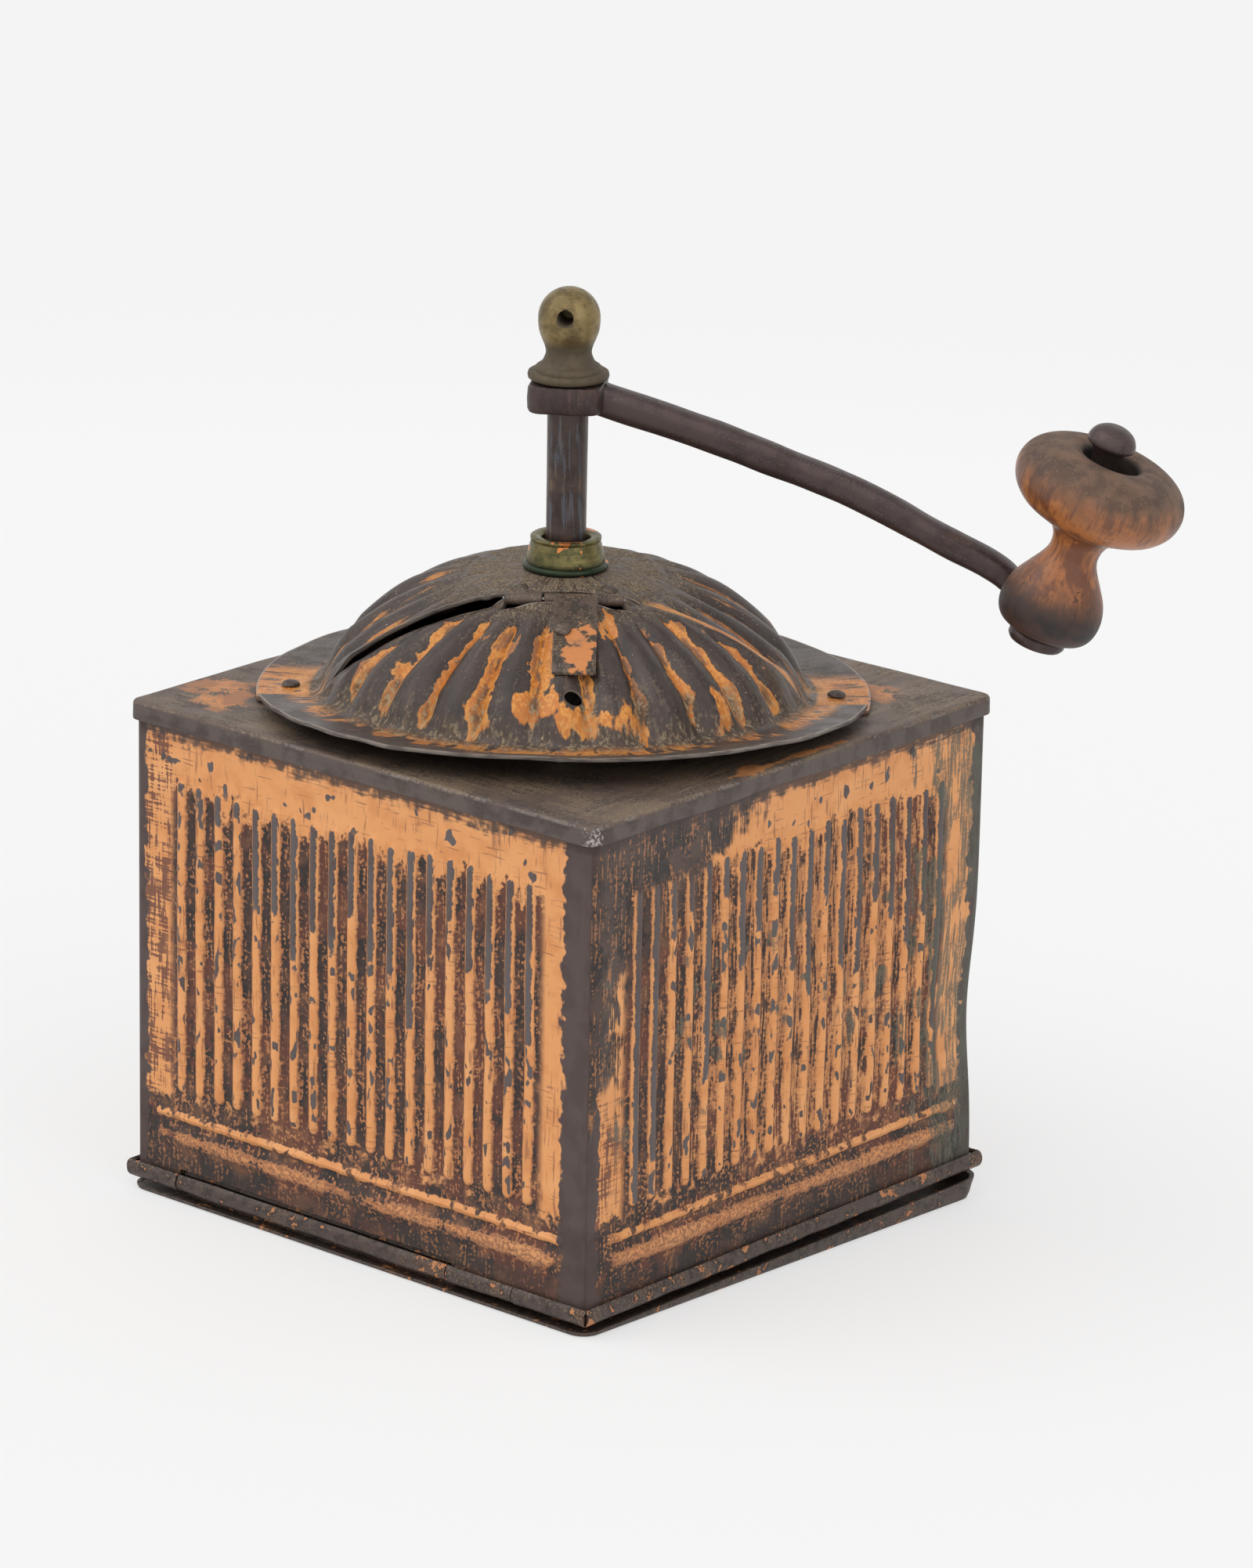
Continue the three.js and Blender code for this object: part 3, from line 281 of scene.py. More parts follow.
class Finish:
    def __init__(self, name, kind="materials"):
        self.material = getattr(bpy.data, kind).new(name)
        self.material.use_nodes = True
        self.tree = self.material.node_tree
        self.shader = next(n for n in self.tree.nodes if n.type in ("BSDF_PRINCIPLED", "BACKGROUND"))
        self.colour = None

    def plug(self, socket, value):
        if isinstance(value, Wire):
            self.tree.links.new(value.socket, socket)
        elif isinstance(value, tuple) and socket.type == "RGBA":
            socket.default_value = (*value, 1)
        else:
            socket.default_value = value

    def add(self, kind, settings=None, sockets=None, output=0):
        node = self.tree.nodes.new(kind)
        for key, value in (settings or {}).items():
            setattr(node, key, value)
        for key, value in (sockets or {}).items():
            self.plug(node.inputs[key], value)
        return Wire(self, node.outputs[output])

    def own(self, name, output="Fac"):
        """A number that the piece's builder keeps on the points, or its place with output Vector."""
        return self.add("ShaderNodeAttribute", {"attribute_name": name}, output=output)

    def millimetres(self):
        """A carried-over CAD node has no place of its own, so it takes the object's, in millimetres."""
        place = self.add("ShaderNodeTexCoord", output="Object")
        return self.add("ShaderNodeMapping", sockets={"Vector": place, "Scale": (1 / MM,) * 3})

    def noise(self, place, seed, size, detail, stretch=(1, 1, 1)):
        """Cloudy noise about 0, whose patches are about size millimetres, longer where stretch is larger."""
        scale = tuple(1 / (size * s) for s in stretch)
        moved = self.add("ShaderNodeMapping", sockets={
            "Vector": place, "Scale": scale, "Location": tuple(seed * step for step in SEED_STEPS)})
        cloudy = self.add("ShaderNodeTexNoise", sockets={
            "Vector": moved, "Scale": 1.0, "Detail": float(detail), "Roughness": 0.5})
        return cloudy - 0.5

    def noises(self, place, seed, *shapes):
        """One noise for each (size, detail) or (size, detail, stretch), with seeds that count up."""
        return [self.noise(place, seed + k, *shape) for k, shape in enumerate(shapes)]

    def over(self, under, above, mask):
        """The colour above over the colour under, where the mask is 1."""
        return self.add("ShaderNodeMix", {"data_type": "RGBA"}, {0: mask, 6: under, 7: above}, output=2)

    def lay(self, above, mask):
        """Lays a colour over what the finish has so far."""
        self.colour = self.over(self.colour, above, mask)

    def parts(self, place):
        return [self.add("ShaderNodeSeparateXYZ", sockets={0: place}, output=k) for k in range(3)]

    def spot(self, u, v, where, ragged):
        """1 within an ellipse (u, v, half-width, half-height), whose edge a noise makes ragged."""
        at_u, at_v, wide, tall = where
        across, up = (u - at_u) * (1 / wide), (v - at_v) * (1 / tall)
        return (across * across + up * up + ragged).past(1.25, 0.75)

    def spots(self, u, v, table, ragged):
        """1 within any ellipse of a table."""
        found = 0.0
        for where in table:
            found = found | self.spot(u, v, where, ragged)
        return found

    def set(self, roughness, height=None, relief=0.0, metal=0.0, **constants):
        """Fills the shader. The height, from 0 to 1, stands out by relief millimetres."""
        sockets = {"Base Color": self.colour, "Roughness": roughness, "Metallic": metal, **constants}
        if height is not None:
            sockets["Normal"] = self.add("ShaderNodeBump", sockets={
                "Height": height, "Distance": relief * MM, "Strength": 1.0})
        for key, value in sockets.items():
            self.plug(self.shader.inputs[key], value)
        return self.material


def paint(red, green, blue, dimmed=1.0):
    """A colour as the eye names it, 0 to 255, as the linear light that Blender works with."""
    share = dimmed * np.array([red, green, blue]) / 255
    linear = np.where(share > 0.04045, ((share + 0.055) / 1.055) ** 2.4, share / 12.92)
    return tuple(float(v) for v in linear)


# %% [markdown]
# ## The colours
# The tin was lacquered a warm orange, and where it has worn through there is brown-grey metal. Old oil and
# coffee dust have turned the hollows brown to black.

# %% Colours of the tin
ORANGE = paint(221, 152, 92)
PALE_ORANGE = paint(230, 167, 109)
DEEP_ORANGE = paint(199, 126, 70)
RED_BROWN = paint(104, 60, 45)
GRIME = paint(62, 46, 41)
BLACK_GRIME = paint(43, 37, 35)
BARE = paint(94, 86, 85)
BARE_BROWN = paint(84, 70, 67)
DUST = paint(134, 116, 90)
SPECK = paint(176, 118, 76)
GREEN_GREY = paint(86, 88, 76)
print("lacquer in linear light:", [round(c, 3) for c in ORANGE])

# %% [markdown]
# ## The finish of the walls
# Each wall was lacquered alike and wore in its own way, so one function makes all four finishes. It reads
# the place on the wall in millimetres, how high the pressed ribs and beads stand there, and where each
# rib's bare streak ends. Masks are laid from the bottom up: lacquer and its grain, red-brown hatching,
# red-brown dirt with painted shade along the ribs' flanks, grime in the hollows with specks of lacquer left
# in it, bare metal on the crests and torn edges, and painted shade with dirt under the lip.

# %% The wall finish
LIP_SHADE, RIB_SHIFT = 95.4, -0.85


def wall_finish(name, seed, bare, hatch, rust, corner=0.0, green=0.0):
    """bare and hatch are (left, right) places in mm: beyond them the wall is metal, or hatched with brown.
    rust is the share of lacquer left on the lower bead, and corner and green how much the right wall's
    dark corner and green bloom show."""
    f = Finish(name)
    place = f.own("place", "Vector")
    across, height, _ = f.parts(place)
    rib, bead, ridge, streak = (f.own(n) for n in ("rib", "bead", "ridge", "streak"))
    cloud, patch, torn, fine, grain, cross, slow, oval, chips = f.noises(
        place, seed, (16, 2), (4.5, 3), (2.4, 4, (1, 1.3, 1)), (0.75, 2), (0.5, 2, (1, 12, 1)),
        (0.5, 2, (12, 1, 1)), (7, 2, (0.5, 1.6, 1)), (1.5, 1, (1, 2.5, 1)), (2.6, 1, (1, 1.4, 1)))

    f.colour = f.over(ORANGE, DEEP_ORANGE, patch.past(-0.08, 0.22) * 0.6)
    f.lay(PALE_ORANGE, cloud.past(0, 0.16) * 0.5)
    scratched = (grain | cross * 0.85) + 0.3 * slow
    f.lay(RED_BROWN, scratched.past(0.1, 0.2) * 0.55)

    left, right = hatch
    side = (-across + 14 * patch + 10 * slow).past(-left - 2, -left + 5)
    side = side | (across + 14 * patch + 10 * slow).past(right - 2, right + 5)
    weave = (grain + cross + 0.9 * slow + 0.5 * torn).past(-0.03, 0.09)
    f.lay(RED_BROWN, side * weave * 0.9)

    inside = (across - RIB_SHIFT).within(-48.2, 48.2, 1.2)
    rows = (height + 14 * slow + 9 * torn + 5 * fine).within(21.0, 84.6, 0.9)
    ragged = 0.5 * fine + 0.5 * patch + 0.55 * grain
    hollow = (rib + ragged).past(0.29, 0.19) * inside * rows
    # The ribs' flanks and the hollows between them, where painted shade is laid with red-brown dirt.
    shade = (rib + ragged).past(0.6, 0.3) * inside * rows
    if corner:
        spared = f.spot(across, height, (6, 54, 36, 36), 5 * slow + 2 * torn)
        spared = spared * (grain + 0.5 * fine + 0.4 * slow).past(-0.12, 0.02)
        hollow, shade = hollow * (1 - 0.85 * spared), shade * (1 - 0.5 * spared)
    low = (height + 8 * torn + 3 * fine).past(22.2, 20.8)
    kept = (ridge + 0.8 * torn + 0.4 * fine).past(0.12, 0.3) * (torn + patch).past(-0.16, -0.1)
    left_on = bead * 0.7 + 1.2 * fine + 0.6 * torn + 1.1 * cloud + 0.4 * cross + rust
    left_on = left_on + height.within(13.6, 15.4, 0.5) * 0.12
    kept = kept | bead.past(0.1, 0.4) * left_on.past(0.52, 0.68)
    low = low * (1 - kept)
    dirt = f.over(GRIME, BLACK_GRIME, (patch + 0.5 * cloud).past(-0.08, 0.12))
    dirt = f.over(dirt, RED_BROWN, (cloud + 0.5 * torn).past(-0.02, 0.1) * 0.75)
    lint = (fine + 0.7 * grain + 0.2 * slow).past(0.08, 0.13) * (0.4 + 0.6 * slow.past(-0.1, 0.08))
    dirt = f.over(dirt, SPECK, lint * 0.95)
    # Painted shade along the ribs' flanks and in the hollows, laid as red-brown dirt.
    f.lay(RED_BROWN, shade * (0.35 + 0.5 * torn.past(-0.1, 0.1)))
    f.lay(RED_BROWN, height.past(17.2, 15.5) * (0.2 + 0.5 * fine.past(-0.1, 0.1)))
    dirty = hollow | low
    f.lay(dirt, dirty * (0.8 + 0.2 * patch.past(-0.2, 0)))
    f.lay(BLACK_GRIME, (height + 3 * torn).past(11.5, 8.5) * 0.55)

    edge = across + 5 * torn + 3 * patch
    strip = edge.past(bare[1] - 0.25, bare[1] + 0.25) | (-edge).past(-bare[0] - 0.25, -bare[0] + 0.25)
    crest = (rib + 0.6 * torn + 0.35 * fine).past(0.62, 0.72)
    long = (height + 14 * torn - streak).past(-0.6, 0.6)
    flakes = (oval + 0.35 * slow + 0.1 * fine).past(0.1, 0.13) * rib.past(0.42, 0.55)
    worn = strip | crest * long | flakes | chips.past(0.19, 0.205) * height.past(84, 88)
    metal = f.over(BARE, BARE_BROWN, (strip * 0.4 + cloud + 0.4 * fine).past(-0.08, 0.2))
    halo = (rib + 0.5 * torn).within(0.36, 0.62, 0.06) * (height - streak).past(-3, 2)
    f.lay(ORANGE, halo * (1 - dirty) * 0.7)
    f.lay(metal, worn)
    f.lay(GRIME, strip * (0.35 + 0.5 * (patch + slow).past(-0.1, 0.14)) * 0.6)

    shaded = 0.0
    if corner:
        slope = (height - 0.8 * across - 103 + 30 * patch + 30 * slow + 16 * grain) * 0.1
        edge_strip = (-across + 10 * torn + 14 * grain).past(50.5, 52.0) * (height + 40 * slow).past(42, 50)
        ribbed = (rib + ragged).past(0.12, 0.3) * inside * height.past(86.5, 85.0)
        shaded = (slope.past(-0.3, 0.4) * (1 - 0.85 * ribbed) | edge_strip) * corner
        old = f.over(paint(78, 60, 52), BLACK_GRIME, (patch + 0.6 * grain).past(-0.1, 0.12))
        old = f.over(old, SPECK, (grain + 0.6 * fine + 0.4 * slow).past(0.06, 0.18) * 0.7)
        f.lay(old, shaded)
    if green:
        bloom = (across + 70 * slow + 30 * patch + 30 * grain).past(43, 49) * green
        bloom = bloom | (slow + 0.6 * torn).past(0.13, 0.2) * height.within(35, 75, 8) * green
        f.lay(GREEN_GREY, bloom * (0.3 + 0.7 * (grain + 0.5 * fine).past(-0.1, 0.06)))
    # Painted shade with dirt under the cover's lip, laid in the colour of grime.
    lip = (height + 7 * torn + 3 * cross).past(LIP_SHADE - 0.6, LIP_SHADE + 1.2)
    f.lay(GRIME, lip * 0.9)
    f.lay(GRIME, abs(across).past(58.5, 58.9) * 0.5)

    solid = (1 - (worn | shaded) * 0.55) * (1 - dirty * 0.3)
    relief = solid * 0.8 + fine * 0.15 + torn * 0.2 - side * weave * 0.15
    rough = 0.5 + 0.2 * dirty + 0.06 * worn + 0.3 * patch
    return f.set(rough, relief, 0.16, worn * 0.15)


# %% [markdown]
# ## The walls
# A wall is a pressed sheet with nineteen upright ribs over two level beads. Its contour is the side of a
# rounded square, so the two ends turn round the box's corners and meet there edge to edge, with grime along
# the fold. The ribs are a height that depends on the distance to each rib's middle line, laid on the
# contour along its outward direction. A mesh is needed, and not a bump, because the ribs show in the
# outline and in light and shade, and the sheet is closed at the back, so it has a thickness when the door
# is open. Over the door's knuckle the front wall's foot is cut away.

# %% Sizes of the walls
SHEET = 0.8
QUARTER = math.pi / 2
BACK_PLACE = 6.0  # sets the pattern of a sheet's inside apart from that of its outside
WALL_OUT, WALL_CORNER, WALL_TOP, WALL_FOOT = 59.3, 1.8, 100.5, 5.2
WALL_MID = WALL_OUT - SHEET / 2
RIBS, RIB_PITCH, RIB_HALF, RIB_RISE = 19, 5.05, 1.5, 1.2
RIB_FOOT, RIB_TOP = 23.0, 87.7
BEADS = [(18.0, 1.0, 0.8), (13.5, 2.6, 1.2)]
BEAD_REACH = 53.5
CORNER_TURN = math.radians(45)
SPREAD = 1.3
KNUCKLE, KNUCKLE_GAP, KNUCKLE_TOP = (-46.6, 24.8), 0.4, 6.4

# How far down each rib is bare from its top. The photograph shows the front and right walls only.
FRONT_STREAKS = [3, 4, 6, 4, 21, 22, 31, 21, 24, 17, 27, 28, 36, 22, 14, 21, 26, 26, 32]
RIGHT_STREAKS = [66, 58, 12, 10, 44, 8, 24, 18, 10, 26, 34, 16, 30, 34, 20, 24, 30, 26, 52]
BACK_STREAKS = [18, 30, 9, 26, 40, 12, 22, 35, 15, 8, 28, 20, 33, 11, 25, 38, 14, 21, 30]
LEFT_STREAKS = [40, 12, 20, 31, 9, 26, 17, 38, 22, 13, 29, 34, 10, 24, 19, 30, 15, 27, 36]

print(f"{RIBS} ribs over {RIBS * RIB_PITCH:.1f} mm, {len(BEADS)} beads, walls {2 * WALL_OUT:.1f} mm apart")


def bump(distance, half):
    """A pressed bar's section: a cosine hill, 1 in the middle and 0 a little outside its half-width."""
    return 0.5 + 0.5 * np.cos(np.pi * np.clip(distance / (half * SPREAD), 0, 1))


def wall_contour(s, out):
    """The place and the outward direction on a rounded square's side, s mm from its middle, moved out."""
    flat = WALL_OUT - WALL_CORNER
    angle = np.sign(s) * np.clip(np.abs(s) - flat, 0, None) / WALL_CORNER
    radius = WALL_CORNER + out
    x = np.clip(s, -flat, flat) + radius * np.sin(angle)
    return x, -flat - radius * np.cos(angle)


def corner_dent(points):
    """The box's rear right corner was knocked in near its foot: a push towards the middle that fades with
    the height and with the distance from the corner."""
    x, y, z = points[..., 0], points[..., 1], points[..., 2]
    near = np.exp(-((WALL_OUT - np.minimum(x, y)) / 16) ** 2) * (np.minimum(x, y) > 0)
    push = 1.5 * near * np.exp(-((z - 36) / 16) ** 2)
    return points - push[..., None] * np.array([0.7, 0.7, 0])


def wall_columns():
    """Columns of the wall: eleven to a rib's pitch, more closely spaced round the two ends."""
    first = RIB_SHIFT - RIB_PITCH * RIBS / 2
    ribs = first + RIB_PITCH * np.arange(RIBS * 11 + 1) / 11
    flat = WALL_OUT - WALL_CORNER
    end = flat + WALL_CORNER * CORNER_TURN
    return np.concatenate([
        np.linspace(-end, -flat, 8)[:-1], np.linspace(-flat, ribs[0], 10)[:-1], ribs,
        np.linspace(ribs[-1], flat, 10)[1:], np.linspace(flat, end, 8)[1:]])


def wall_rows():
    """Rows of the wall: close together over the beads and the ribs' ends, and wide apart between them."""
    return np.concatenate([
        np.arange(WALL_FOOT, 20.6, 0.4), np.arange(21, 28, 0.5), np.arange(28.5, 82, 1.8),
        np.arange(82.5, 90, 0.5), np.arange(90.5, WALL_TOP, 1.2), [WALL_TOP]])


def pressed(s, z, tops):
    """How high ribs and beads stand at s and z, each from 0 to 1, and the nearest rib's number."""
    number = np.clip(np.rint((s - RIB_SHIFT) / RIB_PITCH + (RIBS - 1) / 2), 0, RIBS - 1).astype(int)
    middle = RIB_SHIFT + (number - (RIBS - 1) / 2) * RIB_PITCH
    past_end = np.maximum(RIB_FOOT + RIB_HALF - z, z - tops[number] + RIB_HALF).clip(0)
    rib = bump(np.hypot(s - middle, past_end), RIB_HALF)
    beads = []
    for level, half, _ in BEADS:
        past_end = (np.abs(s) - BEAD_REACH + half).clip(0)
        beads.append(bump(np.hypot(z - level, past_end), half))
    return rib, beads, number


def add_wall(piece, side, streaks, seed):
    """One wall: a grid of outer rows up and inner rows down, turned to its side of the box."""
    random = np.random.default_rng(seed)
    tops = RIB_TOP + random.uniform(-0.6, 0.5, RIBS)
    tall = random.uniform(0.82, 1.0, RIBS)
    outer = wall_rows()
    z = np.concatenate([outer, np.linspace(WALL_TOP, WALL_FOOT, 7)])[:, None]
    s = wall_columns()[None, :]
    s, z = np.broadcast_arrays(s, z)
    if side == 0:
        over = (s > KNUCKLE[0] - KNUCKLE_GAP) & (s < KNUCKLE[1] + KNUCKLE_GAP)
        z = np.where(over, np.maximum(z, KNUCKLE_TOP + KNUCKLE_GAP), z)
    front = (np.arange(len(z)) < len(outer))[:, None]
    rib, beads, number = pressed(s, z, tops)
    rise = RIB_RISE * tall[number] * rib + sum(b * height for b, (_, _, height) in zip(beads, BEADS))
    wave = 0.16 * ripple(np.stack([s, z], -1), 34, seed) * (1 - eased(np.abs(s), 50, 57))
    rise = np.where(front, rise + wave, wave - SHEET)
    x, y = wall_contour(s, rise)
    place = np.stack([s, z, np.where(front, 0, BACK_PLACE) + 0 * s], -1)
    end = tops[number] - np.array(streaks)[number]
    shape = corner_dent(about_z(x, y, z, side * QUARTER))
    piece.add(shape, around=False, along=True, capped=True, place=place,
              rib=rib * front, ridge=beads[0] * front, bead=beads[1] * front, streak=end)


# %% [markdown]
# ## The rolled bottom edge
# Each wall's foot is rolled outward round a wire, which stiffens the box and, in front, carries the door.
# The roll is a C-shaped section carried along the wall's foot. Its free edge stops short of the wall and
# leaves a dark groove. The ends are mitred at the corners: a point further out runs further along.

# %% The roll
ROLL_Z, ROLL_OUT, ROLL_BORE, ROLL_GAP = 4.3, 2.1, 1.4, 0.12
ROLL_FREE, ROLL_HELD, NOSE = math.radians(52), math.radians(-254), 0.1
CORNER_LIMIT = 1.5
ROLL_SEAM = 41.9


def roll_section():
    """A thin C as (out, up) from the wire: an outer arc one way, an inner arc back, and a soft free edge."""
    angle = np.linspace(ROLL_FREE, ROLL_HELD, 22)
    ring = np.stack([np.cos(angle), np.sin(angle)], -1)
    middle, wall = (ROLL_OUT + ROLL_BORE) / 2, ROLL_OUT - ROLL_BORE
    nose = middle * ring[:1] + NOSE * wall * np.array([[-math.sin(ROLL_FREE), math.cos(ROLL_FREE)]])
    return np.vstack([ROLL_OUT * ring, ROLL_BORE * ring[::-1], nose])


def add_roll(piece, put, start, stop, side, seed, mitred=(True, True)):
    """Carries the C along the foot of a wall. A mitred end depends on how far out it is."""
    out, up = np.hsplit(roll_section(), 2)
    t = np.linspace(0, 1, max(6, int((stop - start) / 1.6)))[None, :]
    reach = np.minimum(out, CORNER_LIMIT) - ROLL_GAP
    low = start - reach if mitred[0] else start + 0 * out
    high = stop + reach if mitred[1] else stop + 0 * out
    x = low + (high - low) * t
    spot = np.stack([x, out + 0 * x, up + 0 * x], -1)
    swell = 1 + 0.05 * ripple(spot, 9, seed)
    y, z = -WALL_MID - out * swell, ROLL_Z + up * swell
    shape = about_z(*np.broadcast_arrays(x, y, z), side * QUARTER)
    piece.add(corner_dent(shape), put, around=False, along=True, capped=True)


# %% [markdown]
# ## The finish of dark tin
# The roll, the door, the hinge and the rivets have lost nearly all their lacquer. What is left is a brown
# skin with fine dust in it and small chips of orange, lighter on the edges that hands and tables have
# rubbed.

# %% The dark tin finish


def dark_tin(name, seed, chips=0.12, dust=0.5, tone=(74, 60, 55), lacquer=None):
    """chips is the noise level past which lacquer is left, and lacquer is one patch of it."""
    f = Finish(name)
    place = f.millimetres()
    cloud, patch, fine = f.noises(place, seed, (7, 3), (2.2, 4), (0.45, 3))
    f.colour = f.over(paint(*tone), paint(*tone, 0.66), (patch + 0.5 * cloud).past(-0.08, 0.1))
    f.lay(RED_BROWN, cloud.past(0.02, 0.2) * 0.35)
    f.lay(DUST, (fine + 0.5 * cloud).past(0.0, 0.2) * dust)
    chip = (patch + 0.6 * cloud + 0.25 * fine).past(chips, chips + 0.02)
    if lacquer:
        x, y, _ = f.parts(f.own("place", "Vector"))
        chip = chip | f.spot(x, y, lacquer, 7 * patch)
    f.lay(f.over(DEEP_ORANGE, SPECK, patch.past(-0.05, 0.1)), chip)
    rough = 0.5 + 0.25 * patch + 0.1 * chip
    return f.set(rough, fine * 0.35 + patch * 0.5 + chip * 0.25, 0.14, 0.2 - 0.2 * chip)


rolled_tin = dark_tin("rolled_tin", 3, 0.13)

# %% Make the four walls
WALLS = [
    ("wall_front", FRONT_STREAKS, wall_finish("front_lacquer", 11, (-56.0, 52.6), (-46.5, 90), 0.03)),
    ("wall_right", RIGHT_STREAKS, wall_finish("right_lacquer", 23, (-56.2, 55.0), (-51, 60), 0.14, 1.0, 0.8)),
    ("wall_back", BACK_STREAKS, wall_finish("back_lacquer", 37, (-54, 55), (-47, 49), -0.05, 0.0, 0.35)),
    ("wall_left", LEFT_STREAKS, wall_finish("left_lacquer", 41, (-53, 56), (-44, 50), 0.0, 0.0, 0.2)),
]
for side, (node, streaks, finish) in enumerate(WALLS):
    sheet = Piece(node + "_sheet")
    add_wall(sheet, side, streaks, seed=side + 5)
    sheet.done("mill", [node], "lacquered_tin", finish)
    edge = Piece(node + "_roll")
    if side == 0:
        left, right = KNUCKLE[0] - KNUCKLE_GAP, KNUCKLE[1] + KNUCKLE_GAP
        add_roll(edge, leaned, -WALL_MID, left, side, 7, (True, False))
        add_roll(edge, leaned, right, ROLL_SEAM - ROLL_GAP, side, 8, (False, False))
        add_roll(edge, leaned, ROLL_SEAM + ROLL_GAP, WALL_MID, side, 9, (False, True))
    else:
        add_roll(edge, leaned, -WALL_MID, WALL_MID, side, side + 10)
    edge.done("mill", [node], "lacquered_tin", rolled_tin)

# %% [markdown]
# ## Going round a square
# The cover and the door are both a section carried round a rounded square. The path gives each column a
# point to start from and an outward direction, and the section says how far out and how high each row lies.

# %% The square path


def square_path(half, corner, straight=40, bend=10):
    """Columns round a rounded square: points of the inner square and outward directions. Moving a point by
    corner + d along its direction gives the contour that lies d outside the square's own."""
    inner = half - corner
    x = np.linspace(-inner, inner, straight)
    angle = np.linspace(-np.pi / 2, 0, bend + 2)[1:-1]
    starts = np.vstack([np.stack([x, 0 * x - inner], -1), np.tile([inner, -inner], (bend, 1))])
    ways = np.vstack([np.tile([0.0, -1.0], (straight, 1)), np.stack([np.cos(angle), np.sin(angle)], -1)])
    turns = [np.array([[c, -s], [s, c]]) for c, s in ((1, 0), (0, 1), (-1, 0), (0, -1))]
    return np.vstack([starts @ t.T for t in turns]), np.vstack([ways @ t.T for t in turns])


# %% [markdown]
# ## The cover plate
# The cover is a pressed square lid over the walls with a narrow lip, and the hopper's round opening is
# under the dome. Its grid runs from the circle of the opening out to the square lip and back underneath, so
# each row is a blend of the circle and the square. A slow ripple gives the plate the small waves of old
# sheet.

# %% The cover's finish and shape
COVER_HALF, COVER_CORNER, COVER_TOP = 60.4, 2.9, 101.6
OPENING = 38.0

# Where lacquer is left on the cover: the middle and the half-widths of each patch.
COVER_LACQUER = [
    (-52, -42, 7.5, 5.5), (-46, -50, 6, 4), (58.3, -2, 1.1, 17), (57.5, -12, 2.2, 3), (40, 44, 8, 5),
    (-20, 55, 9, 3)]
LIP_ROWS = np.array([
    [-1.5, 0], [-0.75, -0.05], [-0.3, -0.25], [-0.06, -0.6], [0, -1.1], [0.02, -2.2], [0.06, -3.2],
    [0.0, -3.55], [-0.3, -3.6], [-0.7, -3.45], [-0.8, -2.6], [-0.8, -0.9]])


def cover_finish():
    f = Finish("dusty_cover")
    place = f.own("place", "Vector")
    x, y, z = f.parts(place)
    cloud, patch, fine, level, upright = f.noises(
        place, 51, (20, 3), (5, 4), (0.6, 3), (1.2, 3, (14, 1, 1)), (1.2, 3, (1, 14, 1)))
    brushed = level * (-y - x).past(-30, 30) + upright * (x + y).past(-30, 30)
    f.colour = f.over(paint(98, 82, 72), paint(74, 61, 55), (patch + brushed).past(-0.1, 0.12))
    f.lay(paint(122, 104, 86), (cloud + 0.9 * brushed + 0.4 * fine).past(-0.02, 0.14) * 0.75)
    f.lay(DUST, (fine + 0.4 * cloud + 0.2 * patch).past(0.05, 0.2) * 0.8)
    lip = z.past(101.3, 100.7)
    f.lay(f.over(paint(84, 73, 70), paint(66, 55, 52), patch.past(-0.05, 0.1)), lip * 0.85)
    left = f.spots(x, y, COVER_LACQUER, 6 * patch + 3 * fine)
    worn = f.over(paint(158, 102, 60), paint(204, 136, 82), (cloud + 0.8 * patch).past(-0.1, 0.1))
    f.lay(worn, left * z.past(100.9, 101.3) * 0.9)
    rubbed = (x - y + 6 * fine).past(118.6, 119.6)
    f.lay(paint(168, 160, 156), rubbed * (0.3 + 0.7 * fine.past(-0.05, 0.1)))
    bright = z.within(100.8, 101.4, 0.2) * (patch + 0.3 * fine).past(0.02, 0.12)
    f.lay(paint(126, 116, 110), bright * 0.6)
    rough = 0.55 + 0.3 * patch - 0.12 * lip
    return f.set(rough, fine * 0.4 + patch * 0.45 + left * 0.3, 0.14, 0.2 - 0.2 * left)


# %% The cover piece


def make_cover():
    starts, ways = square_path(COVER_HALF, COVER_CORNER)
    square = starts + ways * COVER_CORNER
    angle = np.arctan2(square[:, 1], square[:, 0])
    circle = OPENING * np.stack([np.cos(angle), np.sin(angle)], -1)
    share = np.linspace(0, 1, 26)[:, None, None]
    rim = square - ways * -LIP_ROWS[0, 0]
    top = circle + (rim - circle) * share
    lip = square + ways * LIP_ROWS[1:, 0][:, None, None]
    under = circle + (square - ways * SHEET - circle) * np.linspace(0.98, 0, 8)[:, None, None]
    plan = np.vstack([top, lip, under])
    level = np.concatenate([
        np.full(len(top), COVER_TOP), COVER_TOP + LIP_ROWS[1:, 1], np.full(len(under), COVER_TOP - SHEET)])
    wave = 0.14 * ripple(plan, 30, 61) * np.minimum(1, (np.abs(plan).max(-1) - OPENING * 0.7).clip(0) / 12)
    lowered = -0.18 * (1 + ripple(plan, 26, 62)) * (level < COVER_TOP - 1.5)[:, None]
    shape = np.concatenate([plan, (level[:, None] + wave + lowered)[..., None]], -1)
    return Piece("cover_plate_skin").add(shape, along=True)


make_cover().done("mill", ["cover_plate"], "worn_tin", cover_finish())

# %% [markdown]
# ## The dome
# The dome is pressed with twenty-six flutes like a melon, and it is in two halves: a fixed half with the
# crown, and a lid. Both are the same surface, cut along one line. Rows are rings of one radius and columns
# are rays, and where a ring would cross the line its points stop on it, so the cut is exact and the rows
# stay on the dome's own features. Points of the inside lie one sheet's thickness further in.

